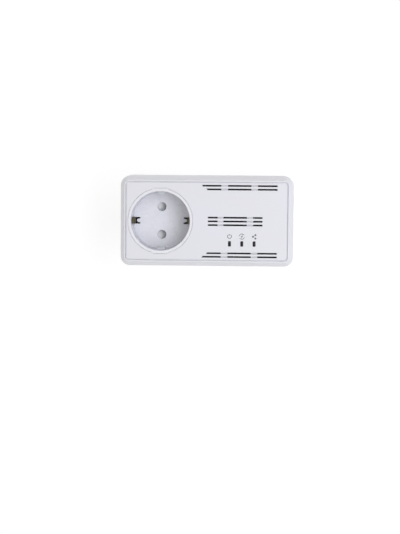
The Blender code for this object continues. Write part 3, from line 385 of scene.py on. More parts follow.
def ramp(tree, value, stops):
    node = tree.nodes.new("ShaderNodeValToRGB")
    while len(node.color_ramp.elements) < len(stops):
        node.color_ramp.elements.new(0.5)
    for element, (place, colour) in zip(node.color_ramp.elements, stops):
        element.position = place
        element.color = (*colour, 1)
    tree.links.new(value, node.inputs["Fac"])
    return node.outputs["Color"]


def spread(tree, value, low, high, first=0.3, last=0.7):
    """The value, stretched from the range between first and last to the one between low and high."""
    node = tree.nodes.new("ShaderNodeMapRange")
    for socket, limit in (("From Min", first), ("From Max", last), ("To Min", low), ("To Max", high)):
        node.inputs[socket].default_value = limit
    tree.links.new(value, node.inputs["Value"])
    return node.outputs["Result"]


def bumped(tree, value, depth, strength=1.0, normal=None):
    node = tree.nodes.new("ShaderNodeBump")
    node.inputs["Strength"].default_value = strength
    node.inputs["Distance"].default_value = depth
    tree.links.new(value, node.inputs["Height"])
    if normal is not None:
        tree.links.new(normal, node.inputs["Normal"])
    return node.outputs["Normal"]


def blended(tree, share, first, second):
    """A colour between two others; each is a colour or a socket."""
    node = tree.nodes.new("ShaderNodeMix")
    node.data_type = "RGBA"
    for socket, value in ((node.inputs[0], share), (node.inputs[6], first), (node.inputs[7], second)):
        if isinstance(value, bpy.types.NodeSocket):
            tree.links.new(value, socket)
        elif isinstance(value, (int, float)):
            socket.default_value = value
        else:
            socket.default_value = (*value, 1)
    return node.outputs[2]


def start_material(name, stretch=(1, 1, 1)):
    mat = bpy.data.materials.new(name)
    mat.use_nodes = True
    tree = mat.node_tree
    shader = tree.nodes["Principled BSDF"]
    place = tree.nodes.new("ShaderNodeTexCoord")
    mapping = tree.nodes.new("ShaderNodeMapping")
    mapping.inputs["Scale"].default_value = stretch
    tree.links.new(place.outputs["Object"], mapping.inputs["Vector"])
    return mat, tree, shader, mapping.outputs["Vector"]


def plastic(name, dark, light, rough, patch=22, grain=7000, depth=0.012, specks=0.0, sheen=0.5):
    """Moulded plastic: faint drift in tone, spark-eroded grain, slight waviness and optional dark specks."""
    mat, tree, shader, place = start_material(name)
    drift = noise(tree, place, patch, 3)
    colour = ramp(tree, drift, [(0.32, dark), (0.68, light)])
    if specks:
        dots = noise(tree, place, 1400, 2)
        colour = blended(tree, ramp(tree, dots, [(0.70, (0, 0, 0)), (0.78, (specks,) * 3)]), colour,
                         tuple(c * 0.6 for c in dark))
    tree.links.new(colour, shader.inputs["Base Color"])
    tree.links.new(spread(tree, noise(tree, place, 260, 5), *rough), shader.inputs["Roughness"])
    wavy = bumped(tree, noise(tree, place, 140, 2), 0.02 * MM, 0.6)
    grainy = bumped(tree, noise(tree, place, grain, 3), depth * MM, 0.7, wavy)
    tree.links.new(grainy, shader.inputs["Normal"])
    shader.inputs["Specular IOR Level"].default_value = sheen
    return mat


def metal(name, dark, light, rough, stretch, marks=900, depth=0.006, stain=None):
    """Plated or bare metal: drawn or turned marks along one axis, tone drift and optional tarnish."""
    mat, tree, shader, place = start_material(name, stretch)
    drawn = noise(tree, place, marks, 4, 0.65)
    colour = ramp(tree, drawn, [(0.30, dark), (0.70, light)])
    if stain:
        plain = tree.nodes.new("ShaderNodeTexCoord").outputs["Object"]
        cloud = noise(tree, plain, 420, 6, 0.7)
        colour = blended(tree, ramp(tree, cloud, [(0.52, (0, 0, 0)), (0.66, (0.75,) * 3)]), colour, stain)
    tree.links.new(colour, shader.inputs["Base Color"])
    shader.inputs["Metallic"].default_value = 1.0
    tree.links.new(spread(tree, drawn, *rough), shader.inputs["Roughness"])
    tree.links.new(bumped(tree, drawn, depth * MM, 0.8), shader.inputs["Normal"])
    return mat


def add_painted_lit_rim(mat, level):
    """A paler tone above the level: a painted lit rim over the cup's darker tone, which paints the well's
    shade.
    """
    tree = mat.node_tree
    place = tree.nodes["Mapping"].outputs["Vector"]
    height = tree.nodes.new("ShaderNodeSeparateXYZ")
    tree.links.new(place, height.inputs["Vector"])
    share = spread(tree, height.outputs["Z"], 0, 1, level, level + 0.4 * MM)
    drift = noise(tree, place, 30, 3)
    # painted highlight: the rim takes the shell's lit tone
    pale = ramp(tree, drift, [(0.32, (0.790, 0.792, 0.830)), (0.68, (0.805, 0.805, 0.850))])
    base = tree.nodes["Principled BSDF"].inputs["Base Color"]
    tree.links.new(blended(tree, share, base.links[0].from_socket, pale), base)


def circuit_board(name):
    """Green solder mask over copper tracks and pads on glass cloth."""
    mat, tree, shader, place = start_material(name)
    tracks = tree.nodes.new("ShaderNodeTexBrick")
    tracks.inputs["Scale"].default_value = 1
    tracks.inputs["Brick Width"].default_value = 9 * MM
    tracks.inputs["Row Height"].default_value = 1.3 * MM
    tracks.inputs["Mortar Size"].default_value = 0.28 * MM
    tracks.inputs["Mortar Smooth"].default_value = 0.1
    tree.links.new(place, tracks.inputs["Vector"])
    cloth = noise(tree, place, 900, 4)
    mask = ramp(tree, cloth, [(0.35, (0.002, 0.016, 0.009)), (0.65, (0.004, 0.030, 0.016))])
    colour = blended(tree, tracks.outputs["Fac"], mask, (0.008, 0.055, 0.026))
    pads = tree.nodes.new("ShaderNodeTexVoronoi")
    pads.inputs["Scale"].default_value = 260
    tree.links.new(place, pads.inputs["Vector"])
    ring = ramp(tree, pads.outputs["Distance"], [(0.10, (1, 1, 1)), (0.12, (0, 0, 0))])
    colour = blended(tree, ring, colour, (0.30, 0.30, 0.29))
    tree.links.new(colour, shader.inputs["Base Color"])
    tree.links.new(spread(tree, cloth, 0.28, 0.42), shader.inputs["Roughness"])
    tree.links.new(bumped(tree, tracks.outputs["Fac"], 0.03 * MM), shader.inputs["Normal"])
    return mat


def wound(name, dark, light, pitch, axis):
    """Enamelled wire laid turn beside turn."""
    mat, tree, shader, place = start_material(name)
    turns = tree.nodes.new("ShaderNodeTexWave")
    turns.bands_direction = axis
    turns.inputs["Scale"].default_value = 0.314 / pitch
    turns.inputs["Distortion"].default_value = 0.6
    turns.inputs["Detail"].default_value = 1
    tree.links.new(place, turns.inputs["Vector"])
    colour = ramp(tree, turns.outputs["Fac"], [(0.05, dark), (0.75, light)])
    tree.links.new(colour, shader.inputs["Base Color"])
    shader.inputs["Metallic"].default_value = 0.85
    tree.links.new(spread(tree, noise(tree, place, 1200), 0.22, 0.38), shader.inputs["Roughness"])
    tree.links.new(bumped(tree, turns.outputs["Fac"], 0.12 * MM), shader.inputs["Normal"])
    return mat


SHELL = plastic("shell_plastic", (0.760, 0.764, 0.795), (0.772, 0.766, 0.828), (0.36, 0.47), depth=0.010)
REAR = plastic("rear_plastic", (0.742, 0.746, 0.782), (0.758, 0.754, 0.812), (0.36, 0.47), depth=0.010)
# Socket plastic darker than the shell: painted shade for the deep well; above the level the rim gets a
# painted lit tone.
CUP = plastic("socket_plastic", (0.690, 0.698, 0.742), (0.708, 0.710, 0.770), (0.24, 0.32), patch=30,
              grain=9000, depth=0.005)
add_painted_lit_rim(CUP, WELL_TOP - 0.7 * MM)
SHUTTER = plastic("shutter_plastic", (0.745, 0.755, 0.775), (0.77, 0.775, 0.80), (0.38, 0.5), depth=0.008)
GREY = plastic("inner_plastic", (0.26, 0.27, 0.29), (0.34, 0.35, 0.37), (0.5, 0.65), depth=0.02, specks=0.3)
BLACK = plastic("black_plastic", (0.018, 0.018, 0.020), (0.032, 0.032, 0.035), (0.4, 0.58), depth=0.02)
CHIP = plastic("moulded_epoxy", (0.014, 0.014, 0.015), (0.030, 0.030, 0.031), (0.46, 0.62), grain=5200,
               depth=0.03, specks=0.4)
LENS = plastic("smoked_plastic", (0.003, 0.003, 0.004), (0.007, 0.007, 0.008), (0.16, 0.26), depth=0.003,
               sheen=0.3)
FILM = plastic("film_capacitor_case", (0.60, 0.46, 0.06), (0.70, 0.56, 0.10), (0.32, 0.45), depth=0.015)
DISC = plastic("disc_coating", (0.025, 0.09, 0.34), (0.05, 0.15, 0.46), (0.22, 0.4), grain=1500, depth=0.05)
TAPE = plastic("amber_film", (0.50, 0.30, 0.05), (0.62, 0.42, 0.09), (0.14, 0.28), depth=0.02)
FERRITE = plastic("pressed_ferrite", (0.045, 0.045, 0.050), (0.085, 0.085, 0.09), (0.6, 0.8), grain=3000,
                  depth=0.05, specks=0.5)
BROWN = plastic("brown_insulation", (0.13, 0.05, 0.02), (0.19, 0.08, 0.035), (0.3, 0.45), depth=0.012)
BLUE = plastic("blue_insulation", (0.02, 0.07, 0.30), (0.04, 0.11, 0.40), (0.3, 0.45), depth=0.012)
CLEAR = plastic("diode_epoxy", (0.74, 0.76, 0.66), (0.86, 0.87, 0.78), (0.12, 0.25), depth=0.01)
PRINT = plastic("grey_print", (0.10, 0.10, 0.105), (0.16, 0.16, 0.165), (0.4, 0.55), patch=900)
LABEL = plastic("label_film", (0.80, 0.80, 0.79), (0.85, 0.85, 0.845), (0.28, 0.4), patch=60, depth=0.006)
# Nickel base colour darkened: painted dark reflection standing in for dark studio surroundings.
NICKEL = metal("plated_pin", (0.40, 0.365, 0.32), (0.54, 0.495, 0.44), (0.06, 0.15),
               stretch=(1, 1, 14), marks=1100, depth=0.003)
# Brass kept very dark: partly real patina, partly a painted dark reflection and shade standing in for a dim
# studio.
BRASS = metal("rolled_brass", (0.060, 0.047, 0.012), (0.130, 0.100, 0.026), (0.24, 0.42),
              stretch=(1, 8, 1), stain=(0.030, 0.023, 0.007))
STEEL = metal("plated_steel", (0.44, 0.44, 0.45), (0.66, 0.66, 0.66), (0.24, 0.42),
              stretch=(9, 1, 1), marks=800, stain=(0.35, 0.34, 0.32))
GOLD = metal("gilt_contact", (0.74, 0.52, 0.16), (0.92, 0.70, 0.28), (0.14, 0.28),
             stretch=(1, 9, 1), depth=0.003)
ALUMINIUM = metal("anodised_aluminium", (0.012, 0.012, 0.014), (0.035, 0.035, 0.038), (0.35, 0.55),
                  stretch=(1, 0.1, 1), marks=1500, depth=0.008)
BOARD = circuit_board("solder_mask")
COPPER = wound("choke_winding", (0.20, 0.06, 0.02), (0.80, 0.40, 0.18), 0.6 * MM, "Y")


# ---------------------------------------------------------------- front shell
def wall_inset(z):
    if z <= CHAMFER_Z:
        return SIDE_DRAFT * max(0, z - PARTING_Z) / (CHAMFER_Z - PARTING_Z)
    return SIDE_DRAFT + (EDGE_INSET - SIDE_DRAFT) * (z - CHAMFER_Z) / (FRONT_Z - CHAMFER_Z)


def front_shell_sections():
    """Inset and height of the shell's side, from the parting line over the grooves to the face border."""
    points, radii = [(0.15 * MM, SHELL_LO.z), (0, SHELL_LO.z + 0.2 * MM)], [0, 0]
    for z in GROOVE_ZS:
        for dz, depth in ((-0.5, 0), (-0.32, 0.45), (0.32, 0.45), (0.5, 0)):
            points.append((wall_inset(z + dz * MM) + depth * MM, z + dz * MM))
            radii.append(0.12 * MM)
    points.append((SIDE_DRAFT, CHAMFER_Z))
    radii.append(1.2 * MM)
    points.append((EDGE_INSET, FACE_Z))
    radii.append(0.75 * MM)
    for inset, dz in BORDER_GROOVE:
        points.append((inset * MM, FACE_Z + dz * MM))
        radii.append(0.05 * MM)
    points.append((BORDER_END, FACE_Z))
    radii.append(0)
    return [(body_outline(inset), z) for inset, z in softened(points, radii, 3)]


def vent_rows():
    """Every row of face slots: the row's y, its spans, and which way its first end leans."""
    inner_vents = [(OUTER_VENTS[0][0] + SETBACK, OUTER_VENTS[0][1])] + OUTER_VENTS[1:]
    rows = []
    for side in (-1, 1):
        rows += [(side * OUTER_ROW, OUTER_VENTS, side), (side * INNER_ROW, inner_vents, side)]
    rows += [(row * 2.5 * MM, MIDDLE_VENTS, 0) for row in (-1, 0, 1)]
    return rows


def slot_outline(x0, x1, y, half, lean):
    return [(x0 + lean, y - half), (x1, y - half), (x1, y + half), (x0 - lean, y + half)]


def add_mouth(bm, outline, z_low, z_face, flare, placement=Matrix()):
    """A straight hole through a face, with its edge broken at 45 degrees."""
    add_loft(bm, [(outline, z_low), (outline, z_face - flare), (grown(outline, 2 * flare), z_face + flare)],
             placement)


def light_outline(x, clearance=0.0):
    half_x, half_y = 0.95 * MM + clearance, 1.8 * MM + clearance
    return rounded_rectangle(x - half_x, x + half_x, LIGHT_Y - half_y, LIGHT_Y + half_y,
                             0.55 * MM + clearance / 2, 8)


def cap_outline(clearance):
    return rounded_rectangle(CAP_Y - 3.8 * MM - clearance, CAP_Y + 3.8 * MM + clearance,
                             CAP_Z - 1.9 * MM - clearance, CAP_Z + 1.9 * MM + clearance,
                             1.85 * MM + clearance, 8)


def make_front_shell():
    shell = solid("front_shell", lambda bm: add_loft(bm, front_shell_sections()))

    def cavity(bm):
        levels = [PARTING_Z - 1 * MM, CHAMFER_Z, FRONT_Z - 2.2 * MM]
        add_loft(bm, [(body_outline(wall_inset(z) + WALL, 4), z) for z in levels])

    def channels(bm):
        for y, spans, _ in vent_rows():
            outline = slot_outline(spans[0][0], spans[-1][1], y, 0.52 * MM, 0)
            add_loft(bm, [(outline, FACE_Z - 1.6 * MM), (outline, FACE_Z - 0.08 * MM),
                          (grown(outline, 0.2 * MM), FACE_Z + 0.12 * MM)])

    def openings(bm):
        for y, spans, lean in vent_rows():
            for index, (x0, x1) in enumerate(spans):
                outline = slot_outline(x0, x1, y, VENT / 2, lean * LEAN if index == 0 else 0)
                add_mouth(bm, outline, FRONT_Z - 3.5 * MM, FACE_Z, 0.08 * MM)
        for x in LIGHT_XS:
            add_mouth(bm, light_outline(x), FRONT_Z - 3.5 * MM, FACE_Z, 0.10 * MM)
        ring = keyed_circle(RING + 0.15 * MM, 10.7 * MM, 0.1 * MM)
        add_mouth(bm, ring, FRONT_Z - 3.5 * MM, FACE_Z, 0.08 * MM)

    def undercuts(bm):
        for y, spans, _ in vent_rows():
            for x0, x1 in spans:
                outline = slot_outline(x0 - 0.45 * MM, x1 + 0.45 * MM, y, 1.0 * MM, 0)
                add_loft(bm, [(outline, FRONT_Z - 3.5 * MM), (outline, FACE_Z - 1.0 * MM)])

    def side_openings(bm):
        for z in GROOVE_ZS:
            for x0, x1 in SIDE_VENTS:
                for side in (-1, 1):
                    ys = sorted((side * (HALF_WIDTH - 4.5 * MM), side * (HALF_WIDTH + 1 * MM)))
                    add_box(bm, (x0, ys[0], z - VENT / 2), (x1, ys[1], z + VENT / 2))

    def end_openings(bm):
        window = rounded_rectangle(JACK_LO.y - GAP, JACK_HI.y + GAP, JACK_LO.z - GAP, JACK_HI.z + GAP,
                                   0.25 * MM, 3)
        for outline in (window, cap_outline(GAP)):
            add_loft(bm, [(outline, X1 - 5 * MM), (outline, X1 + 1 * MM)], END_AXES)

    def posts(bm):
        for place in SCREW_PLACES:
            add_cylinder(bm, 3.3 * MM, PARTING_Z + GAP, FRONT_Z - 2 * MM, place, 24)

    def screw_holes(bm):
        for place in SCREW_PLACES:
            add_cylinder(bm, SCREW_BORE, PARTING_Z - 1 * MM, PARTING_Z + 16 * MM, place, 20)

    cuts = [("DIFFERENCE", build) for build in (undercuts, channels, openings, side_openings, end_openings,
                                                screw_holes)]
    cut(shell, ("DIFFERENCE", cavity), ("UNION", posts), *cuts)
    show(shell, SHELL, "housing", "shell_white", "front_cover")


# ---------------------------------------------------------------- rear shell
def make_rear_shell():
    floor = REAR_Z + 2.2 * MM
    edge = 2.5 * MM
    sections = []
    for step in range(9):
        angle = pi / 2 * step / 8
        inset = 0.45 * MM + edge * (1 - sin(angle))
        sections.append((body_outline(inset), REAR_Z + edge * (1 - cos(angle))))
    sections.append((body_outline(0.1 * MM), PARTING_Z - 2.5 * MM))
    sections.append((body_outline(0), PARTING_Z - GAP / 2 - 0.2 * MM))
    sections.append((body_outline(0.15 * MM), PARTING_Z - GAP / 2))
    tray = solid("rear_shell", lambda bm: add_loft(bm, sections))

    def cavity(bm):
        columns = [circle(4.3 * MM, 24, place) for place in SCREW_PLACES]
        pegs = [circle(2.2 * MM, 16, (x, y)) for x in (29 * MM, 63 * MM) for y in (-23 * MM, 23 * MM)]
        add_plate(bm, [body_outline(WALL + 0.45 * MM, 4)] + columns + pegs, floor, PARTING_Z + 4 * MM)

    def above(bm):
        under_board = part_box("power_board")[0].z - GAP
        add_box(bm, (25 * MM, -27 * MM, under_board), (68 * MM, 27 * MM, PARTING_Z + 4 * MM))
        for place in SCREW_PLACES:
            add_cylinder(bm, 4.8 * MM, PARTING_Z - GAP / 2, PARTING_Z + 4 * MM, place, 24)

    def lip(bm):
        add_plate(bm, [body_outline(WALL + 0.4 * MM, 4), body_outline(WALL + 1.3 * MM, 4)],
                  PARTING_Z - 4 * MM, PARTING_Z + 2 * MM)

    def holes(bm):
        down = Matrix.Rotation(pi, 4, "X")
        add_mouth(bm, circle(PLUG_RADIUS + GAP, 96), -floor - 1 * MM, -REAR_Z, 0.25 * MM, down)
        for x, y in SCREW_PLACES:
            add_mouth(bm, circle(3.1 * MM, 32, (x, -y)), -REAR_Z - 2.9 * MM, -REAR_Z, 0.3 * MM, down)
            add_cylinder(bm, SCREW_BORE, REAR_Z + 2 * MM, PARTING_Z + 1 * MM, (x, y), 24)
        label_lo, label_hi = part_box("rating_label")
        recess = rounded_rectangle(label_lo.x - GAP, label_hi.x + GAP, label_lo.y - GAP, label_hi.y + GAP,
                                   1.3 * MM, 6)
        add_mouth(bm, recess, -REAR_Z - 0.6 * MM, -REAR_Z, 0.12 * MM, down)

    cut(tray, ("DIFFERENCE", cavity), ("DIFFERENCE", above), ("DIFFERENCE", holes, True), ("UNION", lip))
    show(tray, REAR, "housing", "shell_white", "rear_cover")


# ---------------------------------------------------------------- socket
def make_socket_cup():
    top, floor, under = WELL_TOP, WELL_FLOOR, WELL_TOP - 18.7 * MM
    points = [(0, floor), (19.6 * MM, floor), (19.7 * MM, top - 0.5 * MM), (19.95 * MM, top), (RING, top),
              (RING, top - 2.6 * MM), (22.2 * MM, top - 2.6 * MM), (22.2 * MM, top - 4.4 * MM),
              (RING, top - 4.4 * MM), (RING, under), (0, under)]
    radii = [0, 0.7 * MM, 0.3 * MM, 0.2 * MM, 0.12 * MM, 0, 0, 0, 0, 0.3 * MM, 0]
    cup = solid("socket_cup", lambda bm: add_turned(bm, softened(points, radii, 4), 128))
    block_lo, block_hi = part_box("shutter")
    travel = 6 * MM
    chamber_x = (block_lo.x - travel - GAP, block_hi.x + GAP)
    chamber_y = block_hi.y + GAP

    def keys(bm):
        for side in (-1, 1):
            ys = sorted((side * 20.6 * MM, side * (RING + 0.1 * MM)))
            add_box(bm, (-5.2 * MM, ys[0], top - 3 * MM), (5.2 * MM, ys[1], top))

    def ribs(bm):
        for side in (-1, 1):
            ys = sorted((side * 18.0 * MM, side * 20.4 * MM))
            add_box(bm, (-2.7 * MM, ys[0], floor - 1 * MM), (2.7 * MM, ys[1], floor + 9 * MM), 0.35 * MM)

    def chamber(bm):
        outer = rounded_rectangle(chamber_x[0] - 1.4 * MM, chamber_x[1] + 1.4 * MM,
                                  -chamber_y - 1.4 * MM, chamber_y + 1.4 * MM, 0.5 * MM, 3)
        inner = rounded_rectangle(*chamber_x, -chamber_y, chamber_y, 0.3 * MM, 3)
        add_plate(bm, [outer, inner], block_lo.z - 0.1 * MM, under + 1 * MM)

    def openings(bm):
        for side in (-1, 1):
            add_mouth(bm, circle(3.0 * MM, 64, (0, side * PIN_Y)), under - 1 * MM, floor, 0.22 * MM)
            half = 2.3
            tongue = [(14.9, 1.3), (16.1, 1.15), (17.1, 0.75), (17.1, -0.75), (16.1, -1.15), (14.9, -1.3)]
            slot = [(14.9, -half), (20.3, -half), (20.3, half), (14.9, half)] + softened(tongue, 0.7)
            outline = [(side * x * MM, side * y * MM) for x, y in slot]
            add_plate(bm, [outline], under - 1 * MM, floor + 0.5 * MM)
            xs = sorted((side * 18.0 * MM, side * 20.3 * MM))
            add_box(bm, (xs[0], -half * MM, floor - 0.5 * MM), (xs[1], half * MM, floor + 13.2 * MM))

    cut(cup, ("UNION", keys), ("UNION", ribs), ("UNION", chamber), ("DIFFERENCE", openings, True))
    show(cup, CUP, "housing", "socket_white", "socket_well")


def make_shutter_block():
    lo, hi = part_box("shutter")
    block = solid("shutter_block", lambda bm: add_box(bm, lo, hi, 0.25 * MM))
    ramp_x = lo.x + 3.6 * MM

    def ramps(bm):
        for side in (-1, 1):
            inner, outer = side * 6.0 * MM, side * 14.0 * MM
            corners = []
            for z_shift in (0, 1):
                for x, y, depth in ((ramp_x, inner, 1.4), (hi.x + 1 * MM, inner, 6.6),
                                    (hi.x + 1 * MM, outer, 5.4), (ramp_x, outer, 0.2)):
                    corners.append((x, y, hi.z + 1 * MM if z_shift else hi.z - depth * MM))
            shape = bmesh.new()
            v = [shape.verts.new(c) for c in corners]
            for face in ((0, 1, 2, 3), (4, 5, 6, 7), (0, 1, 5, 4), (1, 2, 6, 5), (2, 3, 7, 6), (3, 0, 4, 7)):
                shape.faces.new([v[i] for i in face])
            add_shape(bm, shape)

    def seat(bm):
        place = Matrix.Translation((lo.x, 0, (lo.z + hi.z) / 2)) @ Matrix.Rotation(pi / 2, 4, "Y")
        add_cylinder(bm, 2.6 * MM, -1 * MM, 4 * MM, (0, 0), 40, place)

    cut(block, ("DIFFERENCE", ramps), ("DIFFERENCE", seat))
    show(block, SHUTTER, "shutter", "shutter_white", "shutter")


def make_shutter_coil():
    """Seven turns, of which the first and the last lie close."""
    lo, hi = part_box("shutter_spring")
    block_lo, block_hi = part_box("shutter")
    wire, radius, turns, steps = 0.22 * MM, 1.85 * MM, 7, 7 * 24
    middle = (block_lo.z + block_hi.z) / 2
    start, end = hi.x - wire, lo.x + wire
    route = []
    for step in range(steps + 1):
        share = step / steps
        eased = min(1, max(0, (share - 1 / turns) / (5 / turns)))
        along = share * 0.08 + eased * 0.92
        angle = 2 * pi * turns * share
        route.append((start + (end - start) * along, radius * cos(angle), middle + radius * sin(angle)))
    coil = solid("shutter_coil", lambda bm: add_tube(bm, route, wire))
    show(coil, STEEL, "housing", "steel", "shutter_spring")
    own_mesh(coil)


# ---------------------------------------------------------------- plug
def make_plug_base():
    flange = REAR_Z + 2.5 * MM
    points = [(0, 3 * MM), (16 * MM, 3 * MM), (16 * MM, flange + 1.6 * MM), (22 * MM, flange + 1.6 * MM),
              (22 * MM, flange), (PLUG_RADIUS, flange), (PLUG_RADIUS, 0), (0, 0)]
    radii = [0, 0.5 * MM, 0, 0, 0, 0, 1.0 * MM, 0]
    base = solid("plug_base", lambda bm: add_turned(bm, softened(points, radii, 5), 128))

    def lining(bm):
        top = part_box("contact_carrier")[0].z - GAP
        for side in (-1, 1):
            ys = sorted((side * 12.9 * MM, side * 15.9 * MM))
            add_box(bm, (-10.2 * MM, ys[0], 1 * MM), (10.2 * MM, ys[1], top))
        add_cylinder(bm, 4.6 * MM, 2 * MM, 12 * MM, EARTH_HOLE)

    def flats(bm):
        for side in (-1, 1):
            ys = sorted((side * 16.9 * MM, side * 25 * MM))
            add_box(bm, (-15 * MM, ys[0], -1 * MM), (15 * MM, ys[1], REAR_Z - 0.6 * MM))
            for across in (-1, 1):
                near, far = across * 2.8 * MM, across * 8.7 * MM
                for depth, top in ((14.2 * MM, 15.5 * MM), (16.1 * MM, REAR_Z - 0.9 * MM)):
                    bed, brink = side * depth, side * 26 * MM
                    outline = softened([(near, brink), (near, bed), (far, bed), (far, brink)], 0.5 * MM, 4)
                    add_plate(bm, [outline], -1 * MM, top)

    def holes(bm):
        down = Matrix.Rotation(pi, 4, "X")
        for side in (-1, 1):
            add_mouth(bm, circle(2.7 * MM, 48, (0, side * PIN_Y)), -4 * MM, 0, 0.2 * MM, down)
            xs = sorted((side * 17.6 * MM, side * 25 * MM))
            add_box(bm, (xs[0], -2.6 * MM, -1 * MM), (xs[1], 2.6 * MM, flange + 2 * MM))
        add_mouth(bm, circle(3.0 * MM, 48, EARTH_HOLE), -4 * MM, 0, 0.25 * MM, down)
        add_cylinder(bm, 4.0 * MM, 2 * MM, 13 * MM, EARTH_HOLE)

    cut(base, ("UNION", lining), ("DIFFERENCE", flats, True), ("DIFFERENCE", holes, True))
    show(base, SHELL, "housing", "shell_white", "plug_body", soft=0.12 * MM)


def make_pins():
    shank, head, neck, collar = 2.4 * MM, 2.2 * MM, 1.5 * MM, 3.1 * MM
    under_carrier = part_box("contact_carrier")[0].z - GAP
    for name, node, side in (("plug_pin_line", "line_pin", 1), ("plug_pin_neutral", "neutral_pin", -1)):
        lo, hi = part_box(node)
        points = [(0, hi.z), (head, hi.z), (head, hi.z - 1.1 * MM), (neck, hi.z - 1.1 * MM),
                  (neck, under_carrier), (shank, under_carrier), (shank, 5.2 * MM), (collar, 5.2 * MM),
                  (collar, 3.3 * MM), (shank, 3.3 * MM), (shank, lo.z), (0, lo.z)]
        radii = [0, 0.4 * MM, 0, 0, 0, 0.2 * MM, 0, 0.1 * MM, 0.1 * MM, 0, 1.6 * MM, 0]
        pin = solid(name, lambda bm: add_turned(bm, softened(points, radii, 8), 64, (0, side * PIN_Y)))
        show(pin, NICKEL, "housing", "nickel", node)


# ---------------------------------------------------------------- earth contacts
def make_earth_strips():
    plug_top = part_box("plug_earth_contact")[1].z - 0.4 * MM
    x, low = 18.3 * MM, 1.4 * MM
    plug_path = softened([(-x, low), (-x, plug_top), (x, plug_top), (x, low)], 0.9 * MM, 6)
    lift = plug_top + 1.1 * MM
    leg = [(19.7 * MM, 53.7 * MM), (19.2 * MM, 50.5 * MM), (18.1 * MM, 47.4 * MM), (17.9 * MM, 46.0 * MM),
           (18.4 * MM, 43.4 * MM), (18.4 * MM, lift)]
    socket_path = softened([(-a, b) for a, b in leg] + leg[::-1], 1.2 * MM, 6)

    def rivet_hole(bm):
        add_cylinder(bm, 1.3 * MM, plug_top - 2 * MM, plug_top + 3 * MM, (0, 0), 32)

    for name, node, line, half in (("plug_earth_strip", "plug_earth_contact", plug_path, 2.2 * MM),
                                   ("socket_earth_strip", "socket_earth_contact", socket_path, 2.0 * MM)):
        outline = strip_outline(line, 0.8 * MM)
        strip = solid(name, lambda bm: add_plate(bm, [outline], -half, half, SIDE_AXES))
        cut(strip, ("DIFFERENCE", rivet_hole))
        show(strip, BRASS, "housing", "brass", node, soft=0.12 * MM, angle=40)


# ---------------------------------------------------------------- lights, icons
def make_light_lens():
    lo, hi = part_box("light_guide")

    def build(bm):
        for x in LIGHT_XS:
            outline = light_outline(x, -GAP)
            crown = [(grown(outline, -0.08 * MM), hi.z - 0.07 * MM), (grown(outline, -0.28 * MM), hi.z)]
            add_loft(bm, [(outline, lo.z), (outline, hi.z - 0.25 * MM)] + crown)

    lens = solid("status_lens", build)

    def rail(bm):
        add_box(bm, (LIGHT_XS[0] - 3.4 * MM, LIGHT_Y - 2.6 * MM, lo.z + 4.4 * MM),
                (LIGHT_XS[2] + 3.4 * MM, LIGHT_Y + 2.6 * MM, lo.z + 6.0 * MM))

    cut(lens, ("UNION", rail))
    show(lens, LENS, "housing", "smoked_lens", "light_guide")


def stroke(start, end, width):
    a, b = Vector(start), Vector(end)
    side = (b - a).normalized().orthogonal() * width / 2
    return [tuple(a - side), tuple(b - side), tuple(b + side), tuple(a + side)]


def arc_path(x, y, radius, start, sweep, steps):
    angles = [radians(start + sweep * step / steps) for step in range(steps + 1)]
    return [(x + radius * cos(angle), y + radius * sin(angle)) for angle in angles]


def make_icons():
    """Three plain printed signs: a ring with a stroke, two arcs with a flash, and three joined dots."""
    low, high, y = FACE_Z - 0.01 * MM, FRONT_Z, -10.0 * MM

    def build(bm):
        first, second, third = LIGHT_XS
        ring = arc_path(first, y, 1.3 * MM, 120, 300, 28)
        add_plate(bm, [strip_outline(ring, 0.42 * MM)], low, high)
        add_plate(bm, [stroke((first, y + 0.5 * MM), (first, y + 1.75 * MM), 0.36 * MM)], low, high)
        for start in (35, 215):
            arc = arc_path(second, y, 1.75 * MM, start, 130, 20)
            add_plate(bm, [strip_outline(arc, 0.36 * MM)], low, high)
        flash = [(0.75, 1.35), (-0.75, -0.2), (-0.1, -0.2), (-0.6, -1.35), (0.85, 0.25), (0.15, 0.25)]
        add_plate(bm, [[(second + a * MM, y + b * MM) for a, b in flash]], low, high)
        dots = [(-0.85, 0.0), (0.85, 1.1), (0.85, -1.2)]
        for a, b in dots:
            add_plate(bm, [circle(0.62 * MM, 28, (third + a * MM, y + b * MM))], low, high)
        hub = (third + dots[0][0] * MM, y + dots[0][1] * MM)
        for a, b in dots[1:]:
            link = stroke(hub, (third + a * MM, y + b * MM), 0.22 * MM)
            add_plate(bm, [link], low, high - 0.004 * MM)

    icons = solid("printed_icons", build)
    show(icons, PRINT, "housing", "inner_grey")


